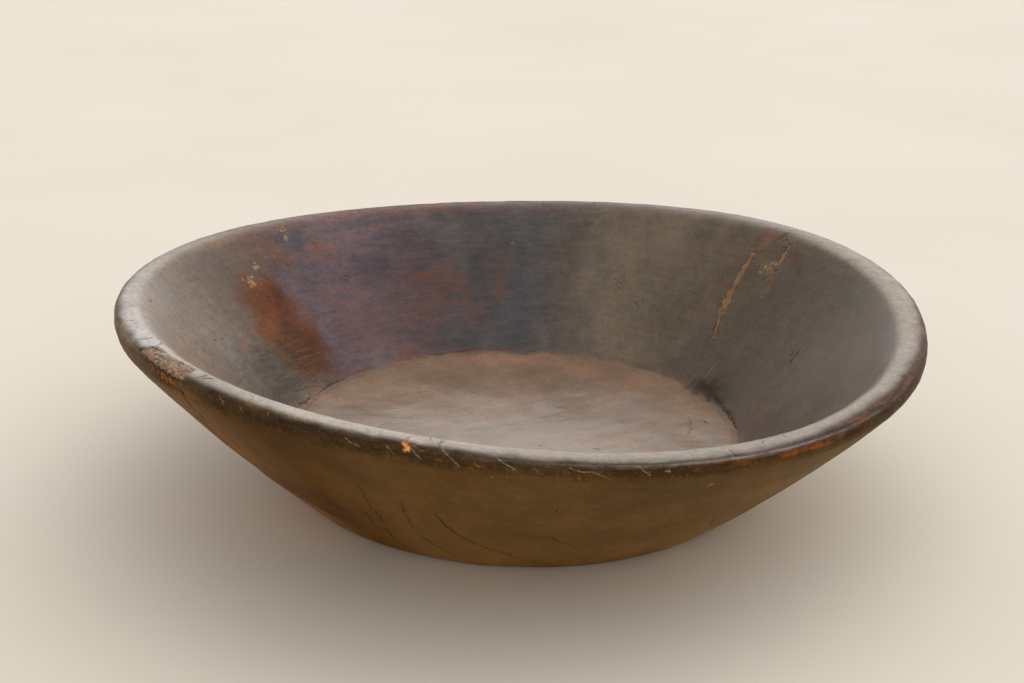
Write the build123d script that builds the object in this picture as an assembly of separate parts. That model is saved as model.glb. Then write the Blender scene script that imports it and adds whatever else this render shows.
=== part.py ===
from build123d import *
import os
from math import cos, pi, radians, sin, tan

# A wide, shallow kneading bowl worked from one block of wood, with old repairs let into it.
# X runs along the grain, Z is up, and the origin is under the middle of the flat underside.

# Driving sizes of the bowl, in millimetres
RIM_DIAMETER = 540.0  # outside of the lip, the mean of the long way and the short way
RIM_HEIGHT = 125.0  # from the underside to the top of the rim, the mean all round
RIM_WIDTH = 18.5  # the rim's top from its outside to the inner wall
RIM_OUTER_ROUND = 7.0  # rounding of the rim's outer edge
RIM_INNER_ROUND = 15.0  # rounding of the rim's inner edge
LIP_HEIGHT = 12.0  # the upright band round the outside, below the rim's top
LIP_FOOT_ROUND = 2.5  # rounding where that band turns into the sloping wall
BASE_DIAMETER = 312.0  # flat underside
FLOOR_DIAMETER = 310.0  # flat floor inside
FLOOR_THICKNESS = 27.0  # from the underside to the floor
OUTER_BOW = 3.0  # how far the outer wall bows out of a straight line
INNER_HOLLOW = 2.0  # how far the inner wall is hollowed behind a straight line

# How the wood has moved since the bowl was made
OVAL = 3.0  # added to the radius along the grain, taken off it across the grain
SADDLE = 7.3  # the rim's rise at the two ends of the grain, and its dip across the grain
LEAN = 3.1  # the rim's rise on its high side, and its dip on its low side
LEAN_ANGLE = 151.5  # degrees from +X to the high side
WAVE = 1.9  # three shallow waves in the rim's height
WAVE_ANGLE = -7.7  # degrees from +X to the first crest
BASE_DRIFT = (2.3, -1.5)  # how far the underside lies off the rim's middle, in X and Y
FLOOR_DRIFT = (-2.6, 2.0)  # how far the floor lies off the rim's middle, in X and Y

# The broken stretch of the rim, filled right across the rim's width
BREAK_ANGLE = 184.8  # degrees from +X to its middle
BREAK_LENGTH = 54.0  # along the rim's outside
BREAK_DEPTH = 9.0  # from the rim's top to the floor of the break
BREAK_WEAR = 1.3  # how far the fill has worn down below the rim

# The repairs in the inner wall lie beside one line down the wall
REPAIR_ANGLE = 8.4  # degrees from +X to that line

# The four-sided patch just under the rim, with its upper edge across the line
PATCH_BELOW_RIM = 4.0  # down the wall, from where the wall would meet the rim's top
PATCH_TOP_WIDTH = 17.0
PATCH_LOW_WIDTH = 6.0
PATCH_LENGTH = 19.0  # down the wall
PATCH_SLANT = 3.0  # from the line to the middle of its lower edge
PATCH_DEPTH = 5.0

# The long fill in the crack that runs on down the wall below the patch
CRACK_GAP = 0.5  # wood left between the patch and the fill
CRACK_ASIDE = 5.0  # from the middle of the patch's lower edge to the middle of the fill's upper end
CRACK_TOP_WIDTH = 4.0
CRACK_BELLY_WIDTH = 7.5
CRACK_BELLY_AT = 43.0  # down the wall from the fill's upper end to its widest place
CRACK_BELLY_BACK = 4.5  # from below the upper end back to the middle of the widest place
CRACK_LOW_WIDTH = 2.5
CRACK_LENGTH = 62.0  # down the wall
CRACK_LOW_BACK = 9.5  # from below the upper end back to the middle of the lower end
CRACK_DEPTH = 6.0

# The short fill in a second crack on the other side of the patch
SIDE_GAP = 8.0  # from the patch's upper corner to the fill
SIDE_BELOW_RIM = 11.0  # down the wall, from where the wall would meet the rim's top
SIDE_LENGTH = 19.0  # down the wall
SIDE_WIDTH = 3.0
SIDE_DEPTH = 4.0

# How finely the curved skin is drawn
RING_POINTS = 24  # points round each ring of the skin
WALL_STEPS = 6  # steps up each wall
ROUND_STEPS = 3  # steps round each rounded edge
SEAM_ANGLE = 90.0  # degrees from +X to the line where each ring closes, clear of the repairs
CUT_REACH = 20.0  # how far a cutter reaches out into the air

# Corners of the wall's section, as radius and height
FLOOR_EDGE = Vector(FLOOR_DIAMETER / 2, FLOOR_THICKNESS)
INNER_CORNER = Vector(RIM_DIAMETER / 2 - RIM_WIDTH, RIM_HEIGHT)
OUTER_CORNER = Vector(RIM_DIAMETER / 2, RIM_HEIGHT)
LIP_FOOT = Vector(RIM_DIAMETER / 2, RIM_HEIGHT - LIP_HEIGHT)
BASE_EDGE = Vector(BASE_DIAMETER / 2, 0)


def rim_rise(angle):
    """How far the moved wood lifts the rim above its mean height, at an angle in radians."""
    saddle = SADDLE * cos(2 * angle)
    lean = LEAN * cos(angle - radians(LEAN_ANGLE))
    wave = WAVE * cos(3 * (angle - radians(WAVE_ANGLE)))
    return saddle + lean + wave


def moved_point(angle, place, foot, drift):
    """Where a place of the section has moved to: not up at its foot, all the way at the rim."""
    share = min(1.0, (place.Y - foot) / (RIM_HEIGHT - foot))
    radius = place.X * (1 + OVAL * cos(2 * angle) / OUTER_CORNER.X)
    x = radius * cos(angle) + drift[0] * (1 - share)
    y = radius * sin(angle) + drift[1] * (1 - share)
    return Vector(x, y, place.Y + share * rim_rise(angle))


def inside_point(angle, place):
    return moved_point(angle, place, FLOOR_THICKNESS, FLOOR_DRIFT)


def outside_point(angle, place):
    return moved_point(angle, place, 0, BASE_DRIFT)


def ring(point_at, place):
    """One closed ring of the skin, smooth all round."""
    turns = [k / RING_POINTS for k in range(RING_POINTS + 1)]
    points = [point_at(radians(SEAM_ANGLE) + 2 * pi * turn, place) for turn in turns[:-1]]
    return Wire([Edge.make_spline(points, periodic=True, parameters=turns)])


def bowed_wall(start, end, bow):
    """Places along a wall of the section, which bows to the right of its way by so much."""
    right = Vector(end.Y - start.Y, start.X - end.X).normalized()
    places = []
    for k in range(WALL_STEPS + 1):
        t = k / WALL_STEPS
        places.append(start + (end - start) * t + right * (4 * bow * t * (1 - t)))
    return places


def rounded_corner(before, corner, after, radius):
    """Places round a corner of the section, which turns right there."""
    back = (before - corner).normalized()
    ahead = (after - corner).normalized()
    half = radians(back.get_angle(ahead)) / 2
    middle = corner + (back + ahead).normalized() * (radius / sin(half))
    arm = corner + back * (radius / tan(half)) - middle
    turn = 180 - 2 * half * 180 / pi
    return [middle + arm.rotate(Axis.Z, -turn * k / ROUND_STEPS) for k in range(ROUND_STEPS + 1)]


def band(point_at, places):
    """The stretch of the skin that runs smoothly through the rings at these places."""
    return Shell.make_loft([ring(point_at, place) for place in places]).faces()


def make_block():
    """The bowl before any crack or break, closed by its skin from the floor over the rim to the underside."""
    inner_round = rounded_corner(FLOOR_EDGE, INNER_CORNER, OUTER_CORNER, RIM_INNER_ROUND)
    outer_round = rounded_corner(INNER_CORNER, OUTER_CORNER, LIP_FOOT, RIM_OUTER_ROUND)
    foot_round = rounded_corner(OUTER_CORNER, LIP_FOOT, BASE_EDGE, LIP_FOOT_ROUND)
    skin = [Face(ring(inside_point, FLOOR_EDGE))]
    skin += band(inside_point, bowed_wall(FLOOR_EDGE, inner_round[0], INNER_HOLLOW))
    skin += band(inside_point, inner_round)
    skin += band(outside_point, [inner_round[-1], outer_round[0]])
    skin += band(outside_point, outer_round)
    skin += band(outside_point, [outer_round[-1], foot_round[0]])
    skin += band(outside_point, foot_round)
    skin += band(outside_point, bowed_wall(foot_round[-1], BASE_EDGE, -OUTER_BOW))
    skin += [Face(ring(outside_point, BASE_EDGE))]
    return Solid(Shell(skin))


def wall_cutter(outline, depth):
    """Prism so deep into the inner wall. Its outline runs aside from the repairs' line, and down the wall."""
    angle = radians(REPAIR_ANGLE)
    high = inside_point(angle, INNER_CORNER)
    down = (inside_point(angle, FLOOR_EDGE) - high).normalized()
    aside = Vector(-sin(angle), cos(angle), 0)
    plane = Plane(origin=high, x_dir=aside, z_dir=aside.cross(down))
    face = plane * make_face(Polyline(*outline, close=True))
    return extrude(face, CUT_REACH) + extrude(face, -depth)


def make_patch_cutter():
    top = PATCH_BELOW_RIM
    low = PATCH_BELOW_RIM + PATCH_LENGTH
    outline = [
        (PATCH_TOP_WIDTH / 2, top),
        (-PATCH_TOP_WIDTH / 2, top),
        (PATCH_SLANT - PATCH_LOW_WIDTH / 2, low),
        (PATCH_SLANT + PATCH_LOW_WIDTH / 2, low),
    ]
    return wall_cutter(outline, PATCH_DEPTH)


def make_crack_cutter():
    top = PATCH_BELOW_RIM + PATCH_LENGTH + CRACK_GAP
    middle = PATCH_SLANT + CRACK_ASIDE
    belly = middle - CRACK_BELLY_BACK
    tail = middle - CRACK_LOW_BACK
    outline = [
        (middle + CRACK_TOP_WIDTH / 2, top),
        (middle - CRACK_TOP_WIDTH / 2, top),
        (belly - CRACK_BELLY_WIDTH / 2, top + CRACK_BELLY_AT),
        (tail - CRACK_LOW_WIDTH / 2, top + CRACK_LENGTH),
        (tail + CRACK_LOW_WIDTH / 2, top + CRACK_LENGTH),
        (belly + CRACK_BELLY_WIDTH / 2, top + CRACK_BELLY_AT),
    ]
    return wall_cutter(outline, CRACK_DEPTH)


def make_side_cutter():
    top = SIDE_BELOW_RIM
    low = SIDE_BELOW_RIM + SIDE_LENGTH
    near = -PATCH_TOP_WIDTH / 2 - SIDE_GAP
    far = near - SIDE_WIDTH
    return wall_cutter([(near, top), (far, top), (far, low), (near, low)], SIDE_DEPTH)


def rim_sector(low, high):
    """Sector right across the rim at the break, between two heights."""
    near = INNER_CORNER.X - CUT_REACH
    far = OUTER_CORNER.X + CUT_REACH
    half_turn = BREAK_LENGTH / 2 / OUTER_CORNER.X * 180 / pi
    start = Vector(1, 0).rotate(Axis.Z, BREAK_ANGLE - half_turn)
    end = Vector(1, 0).rotate(Axis.Z, BREAK_ANGLE + half_turn)
    outline = Polyline(start * near, start * far, end * far, end * near, close=True)
    return extrude(Pos(0, 0, low) * make_face(outline), high - low)


block = make_block()
patch_cutter = make_patch_cutter()
crack_cutter = make_crack_cutter()
side_cutter = make_side_cutter()
break_top = RIM_HEIGHT + rim_rise(radians(BREAK_ANGLE))
break_floor = break_top - BREAK_DEPTH
break_cutter = rim_sector(break_floor, break_top + CUT_REACH)

nodes = {
    "bowl_body": block - [patch_cutter, crack_cutter, side_cutter, break_cutter],
    "rim_patch": block & patch_cutter,
    "wall_crack_fill": block & crack_cutter,
    "wall_side_fill": block & side_cutter,
    "rim_break_fill": block & rim_sector(break_floor, break_top - BREAK_WEAR),
}
os.makedirs("parts", exist_ok=True)
for name, shape in nodes.items():
    export_step(shape, f"parts/{name}.step")
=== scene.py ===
from collections import namedtuple

import bmesh
import bpy
import numpy as np
from mathutils import Matrix, Vector, noise


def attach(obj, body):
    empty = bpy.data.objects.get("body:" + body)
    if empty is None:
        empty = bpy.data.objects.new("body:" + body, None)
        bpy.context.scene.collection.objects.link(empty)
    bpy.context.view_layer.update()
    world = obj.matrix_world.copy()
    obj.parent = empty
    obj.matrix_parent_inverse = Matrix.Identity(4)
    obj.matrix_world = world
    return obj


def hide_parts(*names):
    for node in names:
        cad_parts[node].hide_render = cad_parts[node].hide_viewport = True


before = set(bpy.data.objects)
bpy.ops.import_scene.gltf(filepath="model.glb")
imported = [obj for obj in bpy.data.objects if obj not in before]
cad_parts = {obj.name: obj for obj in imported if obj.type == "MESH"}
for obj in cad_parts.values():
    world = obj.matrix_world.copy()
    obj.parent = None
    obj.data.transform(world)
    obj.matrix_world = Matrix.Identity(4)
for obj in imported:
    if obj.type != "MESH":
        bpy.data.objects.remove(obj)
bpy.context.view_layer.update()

# A wide old kneading bowl of one block of lacquered wood, with its repairs, cracks and wear.
# Lengths are in millimetres, and MM turns them into metres where an object is made.
# A place on the skin is an angle round the bowl in degrees, and a way in millimetres along the
# wall's section: 0 on the rim's top, less than 0 inside and more than 0 outside.
MM = 0.001

# Sizes of the bowl, as in its construction
RIM_RADIUS = 270.0
RIM_HEIGHT = 125.0
RIM_WIDTH = 18.5
RIM_INNER_ROUND = 15.0
RIM_OUTER_ROUND = 7.0
LIP_HEIGHT = 12.0
LIP_FOOT_ROUND = 2.5
BASE_RADIUS = 156.0
FLOOR_RADIUS = 155.0
FLOOR_THICKNESS = 27.0
OUTER_BOW = 3.0
INNER_HOLLOW = 2.0
OVAL = 3.0
SADDLE = 7.3
LEAN = 3.1
LEAN_ANGLE = 151.5
WAVE = 1.9
WAVE_ANGLE = -7.7
BASE_DRIFT = (2.3, -1.5)
FLOOR_DRIFT = (-2.6, 2.0)
EDGE_WEAR = 1.2  # how far wear has softened every edge
ZERO_INSET = 10.7  # how far way 0 lies in from the rim's outside
RIM_TOP_DEPTH = 0.5  # how far below the rim's height its top reaches
PAST_LIP = 25.0  # a way below the lip
FACET_ANGLE = -84  # the middle of the stretch where the rim's outer edge is rubbed flat
FACET_DEPTH = 0.6
FACET_ENDS = (36, 48)  # degrees from its middle over which it fades
CARVED_LAYERS = [(0.6, 60.0, 2, 0), (0.22, 16.0, 2, 90)]  # height, size of lumps, octaves and shift
CARVED_DOWN = 0.15  # how far the carved wood lies below the skin
RUBBED_LAYERS = [(0.3, 34.0, 2, 0), (0.22, 8.0, 3, 50)]  # the same for the rim
RUBBED_DOWN = 0.4
EDGE_STRAY = 3.2  # how far the floor's worn edge strays
DRUM_RADIUS = 210.0  # of the drum on which textures run round the wall
SLANT = -0.0024  # how far those that run down the wall turn, in radians for each mm

# How finely the skin is drawn
SECTION_STEP = 0.25
WALL_POINTS = 60
ROUND_POINTS = 30
COLUMNS = 384  # points round a ring, and half as many where a ring is small
THIN_RADIUS = 110.0  # below this a ring has half as many points, below half of it a quarter, and so on
MOST_HALVINGS = 5
TRAIL_STEP = 0.6  # between the points of a mark's trail
REFINE_ROUNDS = 4
FINEST = 0.5  # the shortest edge beside a mark
REPAIR_EDGE = 0.7  # the shortest edge beside a fill
PATCH_EDGE = 0.8  # the shortest edge beside the patch
COARSENING = 1.35  # how fast the edges grow with the distance from a mark
TOO_LONG = 1.3  # an edge so many times the wanted length is split
SHALLOW = 0.15  # a mark no deeper than this is drawn with longer edges
SHALLOW_EDGES = 1.7  # how much longer those edges are
MARK_MARGIN = 5.0  # how far beside a mark the skin is drawn finer
FILL_MARGIN = 12.0  # how far beside a fill
RIBBON_COLUMNS = 13  # points across a fill
CHUNK = 5000  # points measured against a trail at a time
FAR = 1e9
TINY = 1e-9
SEED = 7

# Colours as they look, in sRGB
CRACK_DARK = (36, 26, 16)
DIRT = (50, 38, 27)
BARE_ORANGE = (196, 122, 58)
FIBRE_ORANGE = (150, 92, 46)
PALE_SCRATCH = (184, 158, 114)
TAN = (186, 150, 108)
RUST = (112, 66, 38)

# Kinds of mark: depth, colour, and how strongly it covers the lacquer. A depth below 0 stands proud.
Kind = namedtuple("Kind", "depth colour strength")
CRACK = Kind(0.9, CRACK_DARK, 0.95)
HAIRLINE = Kind(0.35, CRACK_DARK, 0.7)
SCRATCH = Kind(0.2, PALE_SCRATCH, 0.65)
SCUFF = Kind(0.1, (150, 128, 104), 0.28)
CHIP = Kind(0.9, BARE_ORANGE, 0.95)
FLECK = Kind(-0.05, TAN, 0.75)
FIBRE = Kind(0.3, FIBRE_ORANGE, 0.8)
PIT = Kind(0.4, DIRT, 0.7)
STAIN = Kind(0.0, RUST, 0.5)
SPLINTER = Kind(0.9, (250, 170, 96), 1.0)
PALE_CRACK = Kind(0.3, (226, 218, 206), 0.8)
RUB = Kind(0.04, (58, 46, 36), 0.24)
SMUDGE = Kind(0.0, (62, 39, 21), 0.45)
EMBER = Kind(0.0, (150, 90, 54), 0.5)
RAGGED = 0.9  # how uneven the edges of the marks are
MARK_FADE = (0.35, 1.2)  # where a mark begins to fade and where it ends, in halves of its width
STRAIGHT = 0.25  # how far scuffs and rubs stray from their line
STRAY_SIZE = 9.0  # length of the bends in a mark
STRAY_RADIUS = 260.0  # the radius at which a bend is turned into an angle
TAPER = 4.0  # a mark tapers over one part in so many at each end
BLUNT = 0.12  # how blunt its ends are

# How strewn marks differ from their list: the least and the greatest share of a size, and spreads
CLUSTER_SIZES = (0.5, 1.2)
STREWN_SIZES = (0.6, 1.2)
STREWN_LENGTHS = (0.3, 0.6)
LEAN_SPREAD = 12  # degrees
BEND_SPREAD = 0.3
LEAST_RADIUS = 20.0  # below this a strewn mark grows no wider in angle

# Every mark that can be made out by itself: its kind, its greatest width, and places along it
MARKS = [
    # Cracks in the outer wall at the front and at the left
    (CRACK, 1.5, [
        (-134.8, 83), (-134.2, 98), (-132.9, 115), (-129.7, 132), (-124.8, 148), (-123.7, 153),
        (-119.4, 169),
    ]),
    (HAIRLINE, 0.8, [(-138.7, 70), (-139.9, 92), (-140, 106), (-140.4, 116), (-140.1, 122)]),
    (HAIRLINE, 1.0, [(-140.1, 122), (-139.3, 142), (-138.2, 150), (-136, 165), (-133.2, 176)]),
    (HAIRLINE, 0.8, [(-145.8, 51), (-144.5, 64), (-145.6, 92), (-145.4, 109), (-147.1, 130)]),
    (CRACK, 1.1, [(-147.1, 130), (-147.7, 153), (-147.5, 171)]),
    (HAIRLINE, 0.9, [(-148.5, 102), (-148.1, 112), (-149.4, 132)]),
    (HAIRLINE, 1.1, [(-117.4, 108), (-115.2, 120), (-111.1, 133)]),
    (HAIRLINE, 0.8, [(-116.9, 56), (-117.2, 66)]),
    (HAIRLINE, 0.5, [(-110.5, 82), (-108.8, 90), (-107.4, 96)]),
    (HAIRLINE, 0.9, [(-88, 106), (-86.4, 118), (-84.6, 128)]),
    (CRACK, 1.5, [(-169.7, 14), (-168.3, 17), (-168.1, 27), (-168.4, 37), (-168.8, 46)]),
    (CRACK, 1.2, [(-170.8, 33), (-171.6, 45), (-171.2, 58), (-169.6, 80)]),
    (STAIN, 9.0, [(-171.5, 44), (-172.5, 60), (-173, 80)]),
    (STAIN, 5.0, [(-166.8, 50), (-166.6, 70)]),
    # Scratches across the lip at the front
    (SCRATCH, 0.8, [(-143, 10.5), (-142.2, 13), (-140.7, 14.2)]),
    (SCRATCH, 0.7, [(-137.9, 10), (-137.2, 12.8), (-136.7, 15)]),
    (SCRATCH, 0.9, [(-135, 8.6), (-134.3, 12), (-133.5, 15)]),
    (SCRATCH, 0.5, [(-132.9, 18), (-131.7, 28)]),
    (SCRATCH, 0.9, [(-131.6, 3), (-131, 8), (-129.8, 13), (-128.7, 17.4)]),
    (SCRATCH, 0.7, [(-127.5, 12), (-126.7, 15.5)]),
    (SCRATCH, 0.9, [(-125, 6), (-124.2, 10.5), (-123.1, 13), (-122.1, 16.5)]),
    (SCRATCH, 0.6, [(-120.8, 11), (-120.1, 14), (-119.5, 16)]),
    (SCRATCH, 0.8, [(-117, 9.5), (-115.6, 12.7), (-113.4, 14), (-112.2, 16), (-111.1, 18.6)]),
    (SCRATCH, 0.8, [(-108.7, 8.6), (-107.7, 11), (-106.5, 16)]),
    (SCRATCH, 0.8, [(-161.9, 8), (-160.9, 11), (-160.4, 13)]),
    (SCRATCH, 0.6, [(-158.2, 9), (-157.2, 13.5)]),
    (SCRATCH, 0.6, [(-154, 8), (-153.4, 10.5)]),
    (SCRATCH, 0.5, [(-124.9, 30), (-123, 42), (-121.2, 53)]),
    (SCRATCH, 0.5, [(-127.1, 22), (-121.1, 20)]),
    # The chip in the rim's front edge, and bare spots of the lip and the outer wall
    (PALE_CRACK, 1.0, [(-135.2, 5), (-134.9, 0), (-134.2, -6)]),
    (CRACK, 0.6, [(-135.9, 4), (-135.5, -1), (-134.7, -7)]),
    (CRACK, 0.5, [(-131.6, 6), (-131.7, 0), (-131.8, -5)]),
    (SPLINTER, 4.4, [(-136.0, 5), (-135.5, 8.4)]),
    (SPLINTER, 3.6, [(-135.6, 8), (-135.0, 11.4)]),
    (CHIP, 1.4, [(-134.8, 6.6), (-134.3, 7.6)]),
    (FIBRE, 1.4, [(-133.8, 9.4), (-133.3, 9.8)]),
    (FIBRE, 1.1, [(-131.9, 13.6), (-131.1, 13.8)]),
    (PIT, 2.4, [(-134.2, 7.4), (-133.2, 8.2)]),
    (FLECK, 1.8, [(-104.5, 13.4), (-103.9, 13.8)]),
    (CHIP, 2.4, [(-98.0, 36), (-97.2, 33), (-97.6, 30.5)]),
    (FIBRE, 2.0, [(-117.3, 176), (-115, 174), (-113.3, 177)]),
    (FIBRE, 2.2, [(-93, 170), (-91.8, 171.3), (-90.2, 170.2)]),
    (PIT, 1.2, [(-92.6, 171.6), (-92.1, 171.5)]),
    (PIT, 1.1, [(-117.8, 71), (-117.4, 71)]),
    (PIT, 1.2, [(-119.2, 87), (-118.6, 87)]),
    (PIT, 1.2, [(-121.2, 101), (-121, 102)]),
    (PIT, 1.5, [(-124.4, 149), (-124, 150)]),
    # Torn fibres on the lip below the broken rim, and the rim's own small cracks there
    (FIBRE, 1.4, [(-176.2, 11), (-175.9, 15)]),
    (FIBRE, 1.6, [(-174.6, 11.4), (-174.2, 16)]),
    (CHIP, 1.9, [(-173.6, 11.6), (-173.2, 14), (-173.4, 16)]),
    (CHIP, 1.6, [(-172.6, 12), (-172.1, 16.4)]),
    (CHIP, 1.9, [(-171.8, 11.4), (-171.2, 13.6), (-171.4, 16)]),
    (FIBRE, 1.7, [(-170.6, 11), (-170.1, 16)]),
    (FIBRE, 1.4, [(-169.4, 10), (-168.9, 13)]),
    (HAIRLINE, 0.9, [(-176.5, 10.6), (-173.5, 11.0), (-170.5, 10.4), (-168.6, 9.6)]),
    (CRACK, 0.7, [(178.7, 9), (179.4, -1), (178.8, -6), (177.6, -8)]),
    (CRACK, 1.3, [(-167.6, 3), (-167.2, -0.5), (-167.5, -5)]),
    (CRACK, 1.1, [(-166.8, 3.4), (-166.4, 0.4), (-165.6, -3)]),
    (CRACK, 0.9, [(176.2, 6), (176.6, 0), (175.8, -6)]),
    (HAIRLINE, 0.6, [(173, 7), (172.4, 1)]),
    # Bits of filler, dirt and bare wood about the repairs in the inner wall
    (FIBRE, 2.8, [(11.2, -24.6), (10.8, -28.6)]),
    (CHIP, 1.6, [(11.3, -25), (11.0, -27)]),
    (FIBRE, 1.2, [(11.6, -22), (11.9, -26)]),
    (FLECK, 3.4, [(6.4, -36.0), (5.7, -39.6)]),
    (FLECK, 2.6, [(4.6, -32), (5.3, -36)]),
    (FIBRE, 2.2, [(3.4, -41), (2.9, -46), (2.2, -53), (2.0, -57)]),
    (STAIN, 7.0, [(1.9, -20), (0.4, -25), (-0.8, -30)]),
    (STAIN, 2.6, [(-4.9, -18), (-5.5, -20)]),
    (STAIN, 2.6, [(-6.0, -24), (-6.3, -26)]),
    (FIBRE, 2.2, [(-11.4, -12), (-12.4, -15), (-12.2, -18)]),
    (FIBRE, 1.4, [(-16.9, -41), (-17.8, -43.4)]),
    (HAIRLINE, 0.8, [(8.9, -84), (8.3, -94), (8.2, -100)]),
    (SCRATCH, 0.7, [(1.2, -118), (0.9, -126), (0.8, -135)]),
    # Dark nicks in the left wall, and in the rim above it
    (PIT, 2.6, [(156.6, -11.6), (155.6, -14.6)]),
    (PIT, 1.6, [(145.4, -66.6), (144.9, -69)]),
    (PIT, 1.3, [(142.6, -70), (142.1, -71.6)]),
    (PIT, 1.4, [(161.9, 0.4), (161.3, -0.4)]),
    # Flecks, streaks and scratches elsewhere inside
    (EMBER, 3.4, [(111.6, -30), (110.4, -36), (108.9, -42), (107.6, -46)]),
    (EMBER, 2.2, [(101.6, -30), (100.8, -36)]),
    (FIBRE, 2.0, [(81, -71), (80.5, -72)]),
    (FLECK, 1.4, [(41, -36), (40.8, -37.4)]),
    (FLECK, 1.2, [(60.4, -43), (59.8, -43.6)]),
    (PIT, 1.0, [(-18.6, -77), (-19.2, -84), (-19.8, -90)]),
    (PIT, 0.8, [(-17.4, -80), (-17.9, -85)]),
    (SCUFF, 1.1, [(143.9, -105.8), (138, -110), (131.9, -113.2)]),
    (SCUFF, 1.4, [(141.8, -118.2), (128.1, -122.2), (116.8, -121.2)]),
    (SCUFF, 1.2, [(130.3, -112.8), (120.7, -115.8), (112.3, -118.8)]),
    (SCUFF, 1.1, [(129.5, -73.8), (121.2, -74.8)]),
    (SCUFF, 1.1, [(127.8, -83.2), (117.5, -83.8)]),
    (SCUFF, 1.0, [(133.5, -79.2), (126.9, -80.2)]),
    (SCUFF, 1.2, [(132.6, -127.8), (119.5, -127.2)]),
    (SCUFF, 1.1, [(128.9, -102.2), (118.6, -101.2)]),
    (SCUFF, 1.3, [(131.1, -133.8), (118.1, -133.2)]),
    (SCUFF, 1.1, [(137, -95), (124, -97)]),
    (FIBRE, 2.4, [(109.5, -143.6), (105.2, -144.4)]),
    (HAIRLINE, 1.1, [(128, -145), (120, -143.8), (112, -144.4)]),
    (HAIRLINE, 1.4, [(137, -142), (134, -144), (130, -144.4)]),
    (SCUFF, 1.2, [(126, -252), (137, -259), (148, -262)]),
    (HAIRLINE, 0.8, [(-16.7, -171), (-25, -175), (-34.6, -182)]),
    (PIT, 2.0, [(-19.6, -162.5), (-22.4, -163)]),
    (PIT, 2.2, [(3, -150.6), (2.4, -151.4)]),
    (PIT, 1.8, [(-14, -143.4), (-20, -144.6), (-27, -144.2)]),
    (SMUDGE, 9.0, [(2, -140), (-3, -138), (-8, -140)]),
    (SMUDGE, 6.0, [(1, -141), (-6, -139), (-12, -142)]),
    (SMUDGE, 3.0, [(-9, -141), (-16, -142.6), (-22, -143)]),
    (SMUDGE, 6.0, [(1, -141), (-1, -149), (-2.6, -154)]),
    (RUB, 5.0, [(-1, -150), (-4, -158)]),
    (SMUDGE, 3.4, [(3, -142), (3.4, -148)]),
    (SMUDGE, 4.0, [(-6, -142), (-6.6, -148)]),
    (SMUDGE, 3.0, [(-5, -139), (-6, -132)]),
    (FIBRE, 1.2, [(84, -143.4), (72, -142.6), (60, -143), (52, -143.8)]),
]

# Small marks strewn about a middle: kind, count, width, the middle's angle and way, and the reach
# round and along in millimetres
CLUSTERS = [
    (FLECK, 12, 2.8, 107, -13, 2.5, 4.5),
    (FLECK, 8, 2.6, 118, -36.8, 2.0, 2.0),
    (FLECK, 13, 3.2, 121.5, -45, 3.0, 3.0),
    (FIBRE, 8, 1.8, 120, -50, 9, 6),
    (PIT, 10, 1.2, 118, -72, 8, 12),
    (PIT, 16, 1.1, 142, -60, 34, 26),
    (FLECK, 5, 1.3, 97, -68, 2.5, 2.5),
    (PIT, 4, 1.2, 98, -66, 3, 3),
    (PIT, 16, 1.3, 35.5, -72, 3.0, 8),
    (PIT, 7, 1.2, 30, -90, 3.5, 4),
    (PIT, 9, 1.1, 24, -134, 30, 5),
    (FLECK, 4, 3.0, 5.4, -37, 4, 3.5),
    (PIT, 6, 1.6, 6.4, -37, 8, 6),
    (FIBRE, 10, 1.8, 5.6, -35, 7, 7),
    (CHIP, 10, 1.5, -172.6, 13.6, 5, 1.6),
    (FIBRE, 5, 1.8, 11.0, -25, 2.5, 3),
    (PIT, 9, 1.6, 6.0, -14, 4, 4),
    (FIBRE, 6, 1.3, 4.8, -12, 3, 4),
    (FLECK, 8, 1.2, 2.4, -56, 1.5, 6),
    (FIBRE, 6, 1.4, -11.5, -16, 3, 4),
    (FIBRE, 7, 1.7, -23, -103, 4, 5),
    (PIT, 6, 1.2, -19, -85, 2, 7),
    (PIT, 5, 1.6, -8, -141, 8, 3),
    (SMUDGE, 12, 5.0, -4, -139, 8, 3.5),
    (FLECK, 8, 1.3, 136, -140, 8, 3),
    (PIT, 12, 1.8, 131, -143.5, 9, 1.5),
    (FLECK, 8, 1.6, 124, -146.5, 12, 2),
    (FIBRE, 8, 1.5, 76, -80, 12, 12),
    (FLECK, 22, 0.9, -116, 13, 60, 2.5),
    (FLECK, 8, 1.0, 172, 10, 20, 1.5),
    (PIT, 14, 1.0, -104, 100, 40, 40),
]

# Wear with no place of its own: kind, count, width, length, angles from and to, ways from and to,
# and its lean in degrees from down the wall
STREWN = [
    (HAIRLINE, 14, 0.9, 40, -58, 172, 45, 150, 8),
    (CRACK, 3, 1.1, 34, -50, 160, 110, 160, 10),
    (SCRATCH, 24, 0.7, 7, -95, 172, 9, 15, 24),
    (SCUFF, 12, 0.9, 24, -180, 180, 26, 160, 30),
    (PIT, 14, 1.2, 2, -60, 172, 25, 175, 0),
    (FIBRE, 8, 1.6, 4, -50, 172, 172, 179, 80),
    (SCUFF, 12, 0.9, 30, -160, -42, -130, -20, 55),
    (PIT, 12, 1.4, 2, -165, -40, -135, -20, 0),
    (FLECK, 6, 1.5, 2, -165, -40, -135, -20, 0),
    (SCUFF, 16, 0.9, 16, 0, 160, -130, -20, 60),
    (RUB, 26, 2.4, 34, 117, 152, -140, -92, 80),
    (SCUFF, 18, 1.2, 36, 112, 150, -138, -70, 80),
    (PIT, 12, 1.0, 1.5, 0, 360, -290, -150, 0),
    (SCUFF, 14, 0.9, 22, 0, 360, -280, -160, 50),
    (HAIRLINE, 14, 0.8, 7, -180, 180, -4, 5, 6),
    (HAIRLINE, 4, 0.9, 50, 0, 360, 200, 300, 30),
]

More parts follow.
